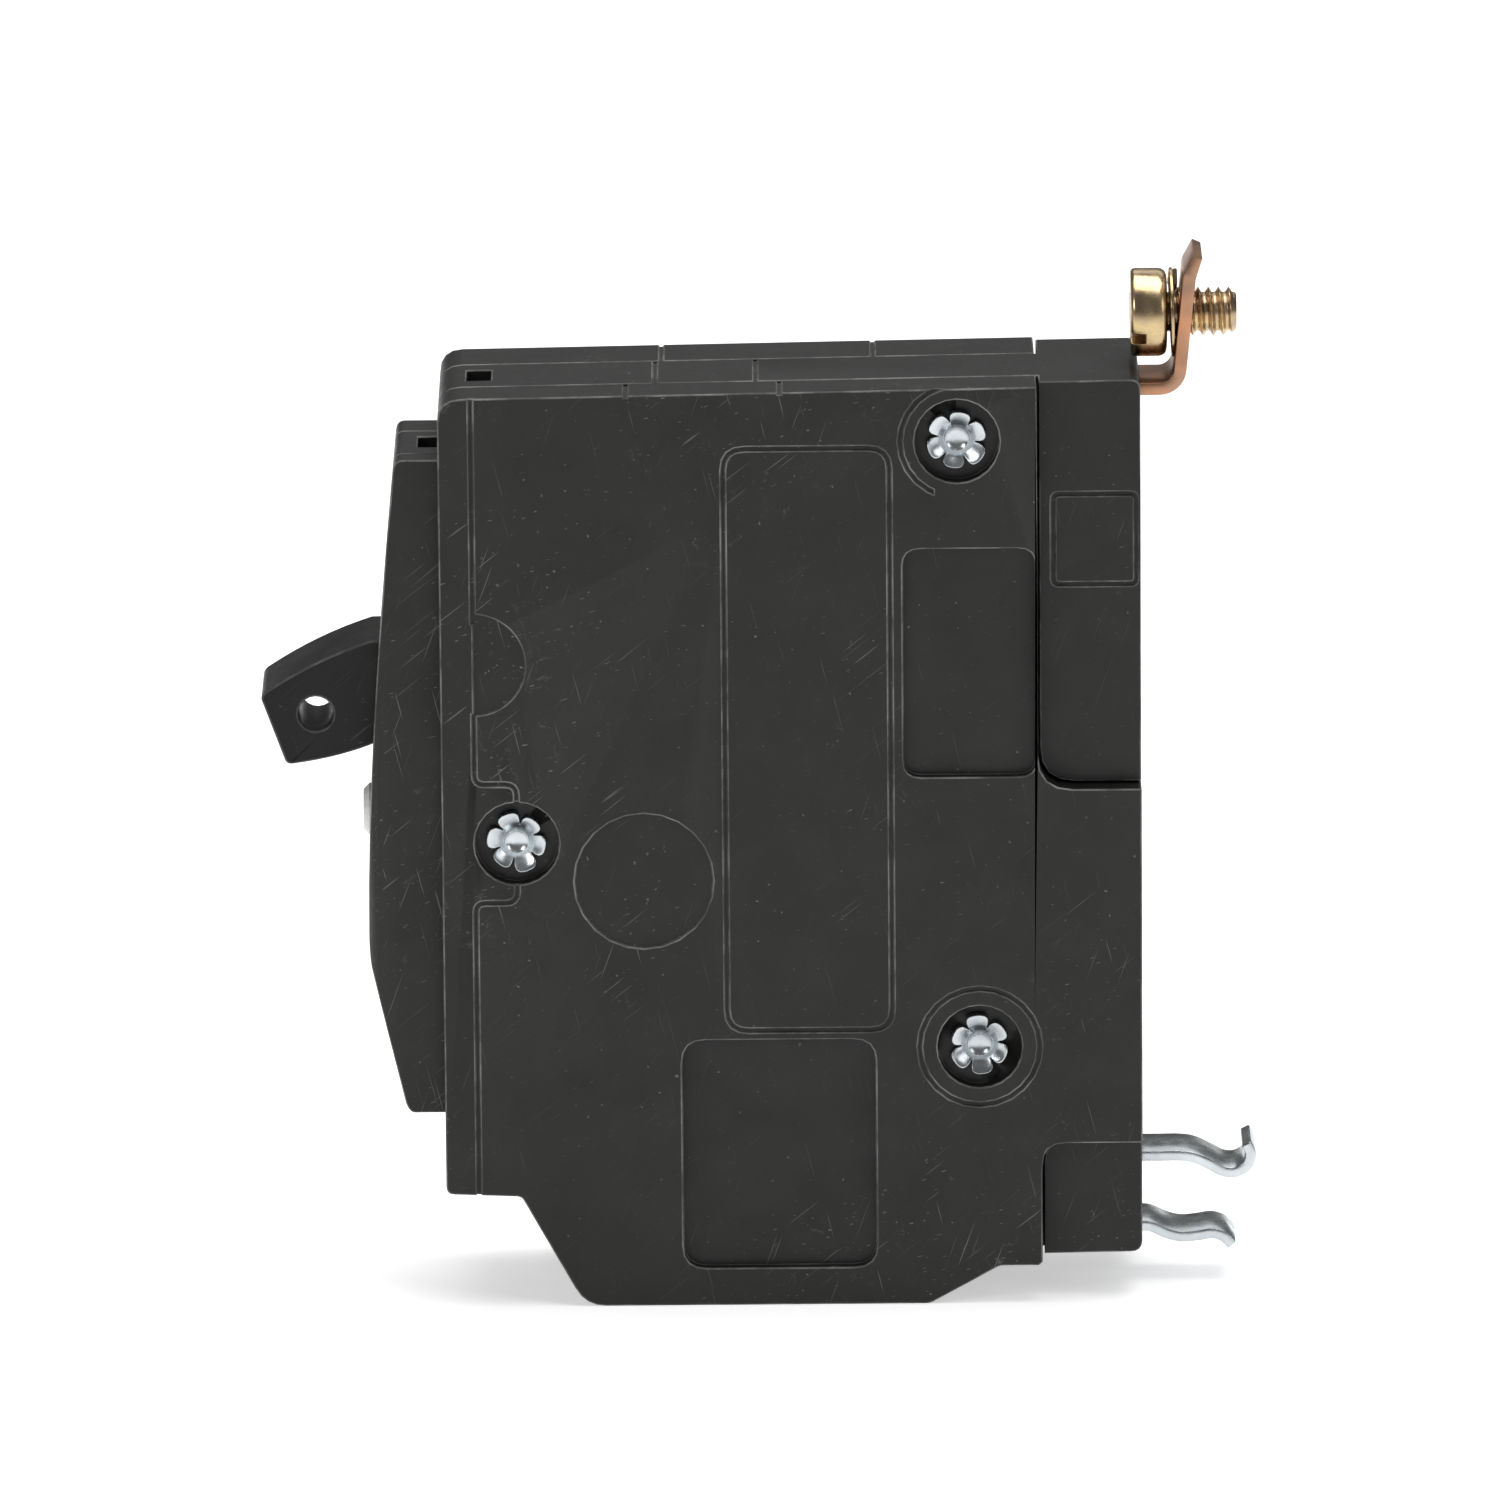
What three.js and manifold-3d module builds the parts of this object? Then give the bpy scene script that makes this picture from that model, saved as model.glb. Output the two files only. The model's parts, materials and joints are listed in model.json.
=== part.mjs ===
// One-pole bolt-on ground-fault circuit breaker, in millimetres.
// +Z is the line end, -X the handle side, and the two flat sides face -Y and +Y.
// Inside this file x = 0 is the flat back of the case and z = 0 its load end.
import * as THREE from 'three';
import { mergeVertices } from 'three/addons/utils/BufferGeometryUtils.js';
import Module from 'manifold-3d';

const wasm = await Module();
wasm.setup();

// ---------------------------------------------------------------- driving dimensions

// Case
const CASE_DEPTH = 59.4; // flat back to front face
const CASE_HEIGHT = 80.4; // load end to line end
const CASE_WIDTH = 19.05; // one-pole module
const TOP_TAPER = 0.8; // fall of the line end towards the front
const WALL = 1.6; // outer wall of the case
const COVER_FLOOR = 2.2; // thickness of each flat side
const NEAR_SEAM_Y = -5; // mechanism cover meets the frame
const FAR_SEAM_Y = 3.3; // frame meets the electronics cover
const SEAM_GAP = 0.2; // visible joint line between case parts
const PARTITION = 1; // web between mechanism and electronics
const CORNER_STEP_X = 8.6; // covers stop this far from the back, at the line end
const CORNER_STEP_Z = 34.95; // and down to this far below the line end
const CORNER_SETBACK = 2; // frame surface below the near face there
const FOOT_STEP_X = 8.35; // the same at the load end
const FOOT_STEP_Z = 13.9;

// Escutcheon
const SNOUT_REACH = 6.36; // front face to the fullest point
const SNOUT_WIDTH = 15;
const SNOUT_DROP = 6.5; // line end to its upper end
const SNOUT_BOTTOM = 16.7;

// Operating handle
const HANDLE_WIDTH = 9;
const HANDLE_LENGTH = 17.7; // pivot to end face
const HANDLE_PIVOT_X = 2.4; // behind the front face
const HANDLE_PIVOT_DROP = 24.9; // below the line end
const HANDLE_OFF_ANGLE = 20; // degrees below level
const DRUM_RADIUS = 7.6;
const TRUNNION_RADIUS = 1.5;
const TIE_HOLE_RADIUS = 1.5;
const HANDLE_CLEARANCE = 0.3;
const MOUTH_LOWER = 46; // degrees from level to each end of the slot
const MOUTH_UPPER = 56;

// Contacts
const ARM_PIVOT_X = 11.9; // behind the front face
const ARM_PIVOT_DROP = 26.9; // below the line end
const ARM_REACH = 21.5; // pivot to contact, along X, when closed
const ARM_RISE = 14; // pivot to top of the arm at the contact, when closed
const ARM_THICKNESS = 2;
const ARM_OPEN_ANGLE = 24; // degrees of contact opening
const BUTTON_RADIUS = 2.2;
const BUTTON_THICKNESS = 1.3;
const CONTACT_GAP = 0.3; // left between closed contacts

// Line tang and its screw
const TANG_THICKNESS = 1.1;
const TANG_WIDTH = 7;
const TANG_DROP = 1.2; // top of the tang below the line end
const TANG_OFFSET = 4; // middle of the upright leg behind the case back
const TANG_RISE = 9.6; // tip above the line end
const SCREW_RISE = 4.15; // axis above the line end
const SCREW_HEAD_RADIUS = 3.75;
const SCREW_HEAD_HEIGHT = 3.1;
const SCREW_RADIUS = 2.1;
const SCREW_END = 8.3; // end of the thread behind the case back
const WASHER_THICKNESS = 0.9;

// Rail clip
const CLIP_THICKNESS = 0.9;
const CLIP_WIDTH = 5.7;
const CLIP_UPPER_Z = 11.05; // middle of each prong where it leaves the case
const CLIP_LOWER_Z = 4.85;

// Load terminal
const LUG_AXIS_Z = 13.9;
const LUG_BOTTOM = 10;
const LUG_LENGTH = 12.1; // along X
const LUG_WIDTH = 10.4;
const LUG_HEIGHT = 9.6;
const LUG_WALL = 1.5;
const LUG_THREAD_WALL = 2.5;
const LUG_FRONT = 11.2; // front of the lug behind the front face
const LUG_SCREW_RADIUS = 1.75;
const LUG_HEAD_RADIUS = 2.4;
const STRAP_THICKNESS = 1.2;
const STRAP_WIDTH = 4;

// Test button
const TEST_BUTTON_RADIUS = 2.25;
const TEST_BUTTON_Z = 41.6;
const TEST_BUTTON_PROUD = 0.55;

// Rivets
const RIVET_RADIUS = 1.5;
const RIVET_RECESS_RADIUS = 3.6;
const RIVET_RECESS_DEPTH = 1.4;
const RIVET_PETAL_RADIUS = 2.6;
const RIVET_PETALS = 6;
const RIVET_RING_RADIUS = 5.3; // moulded ring round a rivet recess

// Marks moulded into the case
const GROOVE_WIDTH = 0.35;
const GROOVE_DEPTH = 0.3;
const POCKET_DEPTH = 1; // label and terminal pockets in the near side
const WITNESS_WIDTH = 0.3; // fine lines across the line end
const WITNESS_DEPTH = 0.15;
const DATE_BOX_SIDE = 7.4; // outlined square on the recessed corner
const DATE_BOX_DROP = 9.7; // line end to its upper edge

// Inner pieces
const PIN_RADIUS = 1;
const RUNNING_FIT = 0.1; // radial clearance of a pin or shank
const SEAT_GAP = 0.3; // between inner pieces that rest on each other
const TOROID_RADIUS = 6.9;
const TOROID_BORE = 3.4;
const TOROID_LENGTH = 7;
const BOARD_THICKNESS = 1;

// ---------------------------------------------------------------- derived planes

const FRONT = -CASE_DEPTH;
const TOP = CASE_HEIGHT;
const NEAR = -CASE_WIDTH / 2;
const FAR = CASE_WIDTH / 2;
const NEAR_FLOOR = NEAR + COVER_FLOOR;
const FAR_FLOOR = FAR - COVER_FLOOR;
const FRAME_NEAR = NEAR_SEAM_Y + SEAM_GAP / 2;
const FRAME_FAR = FAR_SEAM_Y - SEAM_GAP / 2;
const PARTITION_NEAR = FRAME_FAR - PARTITION;
const CORNER_Z = TOP - CORNER_STEP_Z;
const SNOUT_TOP = TOP - SNOUT_DROP;
const SNOUT_FRONT = FRONT - SNOUT_REACH;
const HANDLE_PIVOT = new THREE.Vector3(FRONT + HANDLE_PIVOT_X, 0, TOP - HANDLE_PIVOT_DROP);
const ARM_PIVOT = new THREE.Vector3(FRONT + ARM_PIVOT_X, 0, TOP - ARM_PIVOT_DROP);
const ARM_Y = -1.2; // middle plane of the arm and trip lever
const CONTACT_X = ARM_PIVOT.x + ARM_REACH;
const FIXED_FACE_Z = ARM_PIVOT.z + ARM_RISE + BUTTON_THICKNESS + CONTACT_GAP;
const CHAMBER_BACK = -CORNER_STEP_X - WALL;
// Rivet axes: [x, z] of the front, upper and lower one.
const RIVETS = [
  [FRONT + 6.35, 40.87],
  [-15.54, TOP - 4.75],
  [-13.85, 22.7],
];

// ---------------------------------------------------------------- solids

const ROUND = 20; // sides of a round piece
const RECESS_SIDES = 24; // sides of a wide round recess
const BEND = 4; // steps in a fillet

// A closed geometry as a manifold solid.
function solid(geometry) {
  const bare = geometry.clone();
  bare.deleteAttribute('normal');
  bare.deleteAttribute('uv');
  bare.clearGroups();
  const merged = mergeVertices(bare, 1e-4);
  return new wasm.Manifold(new wasm.Mesh({
    numProp: 3,
    vertProperties: new Float32Array(merged.attributes.position.array),
    triVerts: new Uint32Array(merged.index.array),
  }));
}

// A manifold solid as a flat-shaded geometry.
function geometryOf(body) {
  const mesh = body.getMesh();
  const geometry = new THREE.BufferGeometry();
  geometry.setAttribute('position', new THREE.BufferAttribute(mesh.vertProperties, 3));
  geometry.setIndex(new THREE.BufferAttribute(mesh.triVerts, 1));
  const flat = geometry.toNonIndexed();
  flat.computeVertexNormals();
  return flat;
}

const join = (...bodies) => bodies.reduce((whole, body) => whole.add(body));
const cut = (body, ...tools) => tools.reduce((rest, tool) => rest.subtract(tool), body);

// A path through corners [x, z, radius], each corner rounded by its radius.
function roundedPath(corners, closed, path = new THREE.Path()) {
  const count = corners.length;
  corners.forEach(([x, z, radius = 0], index) => {
    const corner = new THREE.Vector2(x, z);
    const end = !closed && (index === 0 || index === count - 1);
    const [before, after] = [corners[(index + count - 1) % count], corners[(index + 1) % count]]
      .map(([px, pz]) => new THREE.Vector2(px, pz).sub(corner).normalize());
    const reach = end || !radius ? 0 : radius / Math.tan(Math.acos(before.dot(after)) / 2);
    const start = corner.clone().addScaledVector(before, reach);
    if (index === 0) path.moveTo(start.x, start.y);
    else path.lineTo(start.x, start.y);
    if (reach) {
      const finish = corner.clone().addScaledVector(after, reach);
      path.quadraticCurveTo(x, z, finish.x, finish.y);
    }
  });
  if (closed) path.closePath();
  return path;
}

const outline = (corners) => roundedPath(corners, true, new THREE.Shape());

function rectangle(x0, x1, z0, z1, radius = 0) {
  return outline([[x0, z0, radius], [x1, z0, radius], [x1, z1, radius], [x0, z1, radius]]);
}

// Corners moved inwards by a distance; the corners run clockwise, seen with z up.
function inset(corners, distance) {
  const count = corners.length;
  return corners.map(([x, z, radius = 0], index) => {
    const corner = new THREE.Vector2(x, z);
    const [px, pz] = corners[(index + count - 1) % count];
    const [nx, nz] = corners[(index + 1) % count];
    const into = corner.clone().sub(new THREE.Vector2(px, pz)).normalize();
    const out = new THREE.Vector2(nx, nz).sub(corner).normalize();
    const turn = into.x * out.y - into.y * out.x;
    const scale = distance / (1 + into.dot(out));
    const rounding = Math.max(radius + Math.sign(turn) * distance, 0.3);
    const [dx, dz] = [(into.y + out.y) * scale, -(into.x + out.x) * scale];
    return [x + dx, z + dz, radius ? rounding : 0];
  });
}

// A strip of constant thickness along a bent centre line.
function ribbon(corners, thickness) {
  const points = roundedPath(corners, false).getPoints(BEND)
    .filter((point, index, all) => index === 0 || point.distanceTo(all[index - 1]) > 1e-6);
  const side = (sign) => points.map((point, index) => {
    const before = points[Math.max(index - 1, 0)];
    const after = points[Math.min(index + 1, points.length - 1)];
    const into = (index ? point.clone().sub(before) : after.clone().sub(point)).normalize();
    const out = (index < points.length - 1 ? after.clone().sub(point) : into.clone()).normalize();
    const middle = into.clone().add(out).normalize();
    const offset = (sign * thickness / 2) / middle.dot(out);
    return new THREE.Vector2(point.x - middle.y * offset, point.y + middle.x * offset);
  });
  return new THREE.Shape([...side(1), ...side(-1).reverse()]);
}

// An (x, z) outline given thickness from y0 to y1.
function slab(shape, y0, y1, steps = BEND) {
  const geometry = new THREE.ExtrudeGeometry(shape, {
    depth: y1 - y0,
    bevelEnabled: false,
    curveSegments: steps,
  });
  return solid(geometry.rotateX(Math.PI / 2).translate(0, y1, 0));
}

// An (x, y) outline given height from z0 to z1.
function column(shape, z0, z1, steps = BEND) {
  const geometry = new THREE.ExtrudeGeometry(shape, {
    depth: z1 - z0,
    bevelEnabled: false,
    curveSegments: steps,
  });
  return solid(geometry.translate(0, 0, z0));
}

function block(x0, x1, y0, y1, z0, z1) {
  const geometry = new THREE.BoxGeometry(x1 - x0, y1 - y0, z1 - z0);
  return solid(geometry.translate((x0 + x1) / 2, (y0 + y1) / 2, (z0 + z1) / 2));
}

// Round bars along Y, along X and along Z.
function barY(radius, x, z, y0, y1, sides = ROUND) {
  const geometry = new THREE.CylinderGeometry(radius, radius, y1 - y0, sides);
  return solid(geometry.translate(x, (y0 + y1) / 2, z));
}

function barX(radius, y, z, x0, x1, sides = ROUND) {
  const geometry = new THREE.CylinderGeometry(radius, radius, x1 - x0, sides);
  return solid(geometry.rotateZ(-Math.PI / 2).translate((x0 + x1) / 2, y, z));
}

function barZ(radius, x, y, z0, z1, sides = ROUND) {
  const geometry = new THREE.CylinderGeometry(radius, radius, z1 - z0, sides);
  return solid(geometry.rotateX(Math.PI / 2).translate(x, y, (z0 + z1) / 2));
}

// A turned piece from [radius, height] points, its axis along +Y at the origin.
function turned(points, sides = ROUND) {
  const profile = points.map(([radius, height]) => new THREE.Vector2(radius, height));
  return new THREE.LatheGeometry(profile, sides);
}

// A coil spring along +Y from the origin.
function coil(radius, wire, length, turns, stepsPerTurn = 9) {
  class Helix extends THREE.Curve {
    getPoint(t, target = new THREE.Vector3()) {
      const angle = t * turns * 2 * Math.PI;
      return target.set(radius * Math.cos(angle), wire + t * (length - 2 * wire), radius * Math.sin(angle));
    }
  }
  const section = new THREE.Shape();
  section.absarc(0, 0, wire, 0, 2 * Math.PI);
  return new THREE.ExtrudeGeometry(section, {
    steps: Math.round(turns * stepsPerTurn),
    extrudePath: new Helix(),
    bevelEnabled: false,
    curveSegments: 2,
  });
}

// ---------------------------------------------------------------- finishes

const finish = (color, roughness, metalness) =>
  new THREE.MeshStandardMaterial({ color, roughness, metalness });

const MOULDED_BLACK = finish(0x2b2b2a, 0.5, 0);
const HANDLE_BLACK = finish(0x1d1d1e, 0.4, 0);
const BUTTON_WHITE = finish(0xdcdcd6, 0.35, 0);
const COPPER = finish(0xa9683f, 0.35, 1);
const SILVER = finish(0xd5d3cc, 0.3, 1);
const ZINC = finish(0xb9bcbc, 0.35, 1);
const YELLOW_ZINC = finish(0xb99b55, 0.35, 1);
const STEEL = finish(0x8e9092, 0.4, 1);
const BIMETAL = finish(0x9c8f7d, 0.45, 1);
const TIN = finish(0xaeb1b3, 0.3, 1);
const FIBRE = finish(0x8d3f2d, 0.8, 0);
const FERRITE = finish(0x3c3f44, 0.7, 0);
const ENAMEL = finish(0x9b4a22, 0.3, 0);
const BOARD_GREEN = finish(0x24573a, 0.5, 0);
const CHIP_BLACK = finish(0x1a1a1c, 0.45, 0);
const DISC_BLUE = finish(0x2f5f98, 0.4, 0);
const CAN_TAN = finish(0xb58a4e, 0.4, 0);
const BUSH_GREY = finish(0x9a9a96, 0.6, 0);

const breaker = new THREE.Group();

// Adds a solid or a geometry to the breaker as a named piece.
function piece(name, shape, material) {
  const geometry = shape.isBufferGeometry ? shape : geometryOf(shape);
  const mesh = new THREE.Mesh(geometry, material);
  mesh.name = name;
  breaker.add(mesh);
  return mesh;
}

// ---------------------------------------------------------------- case

// Side outline of the case, clockwise from the upper front corner.
const CASE_CORNERS = [
  [FRONT, TOP - TOP_TAPER, 2],
  [0, TOP, 0.8],
  [0, 3.9, 1],
  [-8.3, 3.8, 0.2],
  [-8.9, 3.3, 0.2],
  [-12.2, 3.3, 1],
  [-18.2, 0, 1.5],
  [FRONT + 11.8, 0, 3],
  [FRONT + 6.4, 9.75, 0.7],
  [FRONT, 10, 0.7],
];
const CASE_OUTLINE = outline(CASE_CORNERS);

// The part of the case behind the covers' corner steps, grown by a margin.
function steps(margin, y0, y1) {
  const far = 5;
  const corner = outline([
    [-CORNER_STEP_X - margin, TOP + far],
    [far, TOP + far],
    [far, CORNER_Z - margin],
    [-CORNER_STEP_X - margin, CORNER_Z - margin, 3],
  ]);
  const foot = outline([
    [-FOOT_STEP_X - margin, FOOT_STEP_Z + margin, 2],
    [far, FOOT_STEP_Z + margin],
    [far, -far],
    [-FOOT_STEP_X - margin, -far],
  ]);
  return join(slab(corner, y0, y1), slab(foot, y0, y1));
}

// The hollow inside the outer walls, between two planes.
const chamber = (y0, y1) => cut(slab(outline(inset(CASE_CORNERS, WALL)), y0, y1), steps(WALL, y0, y1));

// The escutcheon, cut to the layer between two planes.
function snout(y0, y1) {
  const half = SNOUT_WIDTH / 2;
  const side = new THREE.Shape();
  side.moveTo(FRONT + 1, SNOUT_BOTTOM);
  side.lineTo(FRONT - 2.6, SNOUT_BOTTOM);
  side.quadraticCurveTo(FRONT - 3.1, SNOUT_BOTTOM, FRONT - 3.4, SNOUT_BOTTOM + 0.9);
  side.lineTo(SNOUT_FRONT + 0.2, 29.4);
  side.quadraticCurveTo(SNOUT_FRONT, 30.4, SNOUT_FRONT, 32.4);
  side.quadraticCurveTo(SNOUT_FRONT, (32.4 + SNOUT_TOP) / 2 - 5, FRONT - 3.8, SNOUT_TOP - 0.8);
  side.quadraticCurveTo(FRONT - 3.7, SNOUT_TOP, FRONT - 3.0, SNOUT_TOP);
  side.lineTo(FRONT + 1, SNOUT_TOP);
  const plan = roundedPath([
    [SNOUT_FRONT - 0.1, -half, 1.6],
    [FRONT + 2, -half],
    [FRONT + 2, half],
    [SNOUT_FRONT - 0.1, half, 1.6],
  ], true, new THREE.Shape());
  return slab(side, Math.max(y0, -half), Math.min(y1, half), 8)
    .intersect(column(plan, 0, TOP));
}

const bodyLayer = (y0, y1) => join(slab(CASE_OUTLINE, y0, y1), snout(y0, y1));

// Pocket for the handle drum and the opening that its lever swings in.
function handlePocket() {
  const half = HANDLE_WIDTH / 2 + HANDLE_CLEARANCE;
  const radius = DRUM_RADIUS + HANDLE_CLEARANCE;
  const drum = barY(radius, HANDLE_PIVOT.x, HANDLE_PIVOT.z, -half, half, RECESS_SIDES);
  const reach = 14;
  const backReach = 8.2;
  const backRise = 6.2;
  const [lower, upper] = [MOUTH_LOWER, MOUTH_UPPER].map(THREE.MathUtils.degToRad);
  const fan = slab(outline([
    [HANDLE_PIVOT.x, HANDLE_PIVOT.z],
    [HANDLE_PIVOT.x - reach, HANDLE_PIVOT.z - reach * Math.tan(lower)],
    [HANDLE_PIVOT.x - reach, HANDLE_PIVOT.z + reach * Math.tan(upper)],
  ]), -half, half);
  const back = block(HANDLE_PIVOT.x, HANDLE_PIVOT.x + backReach, -half, half,
    HANDLE_PIVOT.z - backRise, HANDLE_PIVOT.z + backRise);
  return join(drum, fan, back);
}

// Bore and counterbore of the test button, from the front.
function buttonBore() {
  const bore = barX(TEST_BUTTON_RADIUS + RUNNING_FIT, 0, TEST_BUTTON_Z, SNOUT_FRONT - 1, FRONT);
  const counterbore = barX(TEST_BUTTON_RADIUS + 1.25, 0, TEST_BUTTON_Z, FRONT - 3.2, FRONT + WALL + 0.1);
  return join(bore, counterbore);
}

// Openings in the load end for the conductor and its screw.
function terminalOpenings() {
  const half = LUG_WIDTH / 2 - 1.1;
  const wireBack = FRONT + LUG_FRONT + LUG_LENGTH - LUG_WALL;
  const wire = block(wireBack - 6.2, wireBack, -half, half, -1, 4);
  const driver = barX(LUG_HEAD_RADIUS + 0.3, 0, LUG_AXIS_Z, FRONT - 1, FRONT + WALL + 0.1);
  return join(wire, driver);
}

const rivetBores = (y0, y1) =>
  join(...RIVETS.map(([x, z]) => barY(RIVET_RADIUS + RUNNING_FIT, x, z, y0, y1)));

const rivetRecesses = (y0, y1) =>
  RIVETS.map(([x, z]) => barY(RIVET_RECESS_RADIUS, x, z, y0, y1, RECESS_SIDES));

// Rivet bosses, standing from a floor to the seam.
function rivetBosses(y0, y1) {
  const radii = [2.6, 3.4, 3.2];
  return join(...RIVETS.map(([x, z], index) => barY(radii[index], x, z, y0, y1)));
}

// A panel outline cut as a fine groove in a flat side.
function panelGroove(x0, x1, z0, z1, radius, y0, y1) {
  const width = GROOVE_WIDTH;
  return cut(
    slab(rectangle(x0, x1, z0, z1, radius), y0, y1),
    slab(rectangle(x0 + width, x1 - width, z0 + width, z1 - width, radius - width), y0 - 1, y1 + 1));
}

// A ring cut as a fine groove round an axis along Y.
function ringGroove(radius, x, z, y0, y1) {
  return cut(
    barY(radius, x, z, y0, y1, RECESS_SIDES),
    barY(radius - GROOVE_WIDTH, x, z, y0 - 1, y1 + 1, RECESS_SIDES));
}

// Fine lines across one layer of the line end.
function witnessLines(positions, y0, y1) {
  return positions.map((x) => {
    const bottom = TOP + TOP_TAPER * x / CASE_DEPTH - WITNESS_DEPTH;
    return block(x - WITNESS_WIDTH / 2, x + WITNESS_WIDTH / 2, y0 - 1, y1 + 1, bottom, TOP + 1);
  });
}

// What is sunk into a flat side: rivet recesses, moulding pockets and label panel.
function nearFaceCuts() {
  const outside = NEAR - 1;
  const at = (depth) => NEAR + depth;
  const [front, upper, lower] = RIVETS;
  const strip = FRONT + 2.8;
  const seamLine = ribbon([[strip, TOP + 1], [strip, HANDLE_PIVOT.z + 4.6]], GROOVE_WIDTH);
  const bow = new THREE.Shape();
  bow.absarc(strip, HANDLE_PIVOT.z + 1, 4.4, -Math.PI / 2, Math.PI / 2);
  const hook = ribbon([
    [strip, HANDLE_PIVOT.z - 3.3],
    [strip, front[1] + 5.2, 0.8],
    [front[0], front[1] + 5.2, 1],
    [front[0], front[1]],
  ], GROOVE_WIDTH);
  const lowerHook = ribbon([
    [front[0], front[1]],
    [front[0], front[1] - 5.2, 1],
    [strip, front[1] - 5.2, 0.8],
    [strip, 9],
  ], GROOVE_WIDTH);
  const upperArc = cut(
    ringGroove(RIVET_RING_RADIUS - 0.3, upper[0], upper[1], outside, at(GROOVE_DEPTH)),
    block(upper[0] + 1, 0, outside - 1, 0, 0, TOP + 1),
    block(upper[0] - 2, 0, outside - 1, 0, 0, upper[1]));
  return [
    ...rivetRecesses(outside, at(RIVET_RECESS_DEPTH)),
    ...[seamLine, hook, lowerHook].map((line) => slab(line, outside, at(GROOVE_DEPTH))),
    slab(bow, outside, at(GROOVE_DEPTH), 12),
    barY(5.9, FRONT + 17.1, 37.5, outside, at(GROOVE_DEPTH), RECESS_SIDES),
    ringGroove(RIVET_RING_RADIUS, lower[0], lower[1], outside, at(GROOVE_DEPTH)),
    upperArc,
    panelGroove(-35.5, -21.1, 24.1, TOP - 5.1, 2, outside, at(GROOVE_DEPTH)),
    slab(rectangle(-20.2, -8.95, TOP - 34, TOP - 14.1, 1.5), outside, at(POCKET_DEPTH)),
    slab(rectangle(-39.2, -22.7, 3.3, 23.45, 2), outside, at(POCKET_DEPTH)),
    ...witnessLines([-43.5, -30.5], NEAR, NEAR_SEAM_Y),
  ];
}

function mechanismCover() {
  const inner = NEAR_SEAM_Y - SEAM_GAP / 2;
  const shell = cut(
    bodyLayer(NEAR, inner),
    chamber(NEAR_FLOOR, 0),
    steps(SEAM_GAP, NEAR - 1, 0));
  const bearing = barY(TRUNNION_RADIUS + 1.6, HANDLE_PIVOT.x, HANDLE_PIVOT.z, NEAR_FLOOR - 0.1, inner);
  const bosses = join(rivetBosses(NEAR_FLOOR - 0.1, inner), bearing)
    .intersect(slab(CASE_OUTLINE, NEAR, inner));
  return cut(
    join(shell, cut(bosses, steps(SEAM_GAP, NEAR - 1, 0))),
    barY(TRUNNION_RADIUS + RUNNING_FIT, HANDLE_PIVOT.x, HANDLE_PIVOT.z, NEAR_FLOOR + 0.2, 0),
    rivetBores(NEAR - 1, 0),
    terminalOpenings(),
    ...nearFaceCuts());
}

function electronicsCover() {
  const inner = FAR_SEAM_Y + SEAM_GAP / 2;
  const shell = cut(
    bodyLayer(inner, FAR),
    chamber(0, FAR_FLOOR),
    steps(SEAM_GAP, 0, FAR + 1),
    handlePocket());
  const bearing = barY(TRUNNION_RADIUS + 1.6, HANDLE_PIVOT.x, HANDLE_PIVOT.z,
    HANDLE_WIDTH / 2 + HANDLE_CLEARANCE, FAR_FLOOR + 0.1);
  const bosses = join(rivetBosses(inner, FAR_FLOOR + 0.1), bearing).intersect(slab(CASE_OUTLINE, 0, FAR));
  const [, upper] = RIVETS;
  return cut(
    join(shell, cut(bosses, steps(SEAM_GAP, 0, FAR + 1))),
    barY(TRUNNION_RADIUS + RUNNING_FIT, HANDLE_PIVOT.x, HANDLE_PIVOT.z, 0, FAR_FLOOR - 0.2),
    rivetBores(0, FAR + 1),
    terminalOpenings(),
    tangSlot(),
    buttonBore(),
    barZ(OUTLET_RADIUS + RUNNING_FIT, OUTLET_X, OUTLET_Y, -1, WALL + 0.5),
    ...rivetRecesses(FAR - 1, FAR + 1),
    panelGroove(FRONT + 8, upper[0] - 7, 24.1, TOP - 5.1, 2, FAR - GROOVE_DEPTH, FAR + 1),
    ...witnessLines([-40.5, -22.5], FAR_SEAM_Y, FAR));
}

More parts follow.
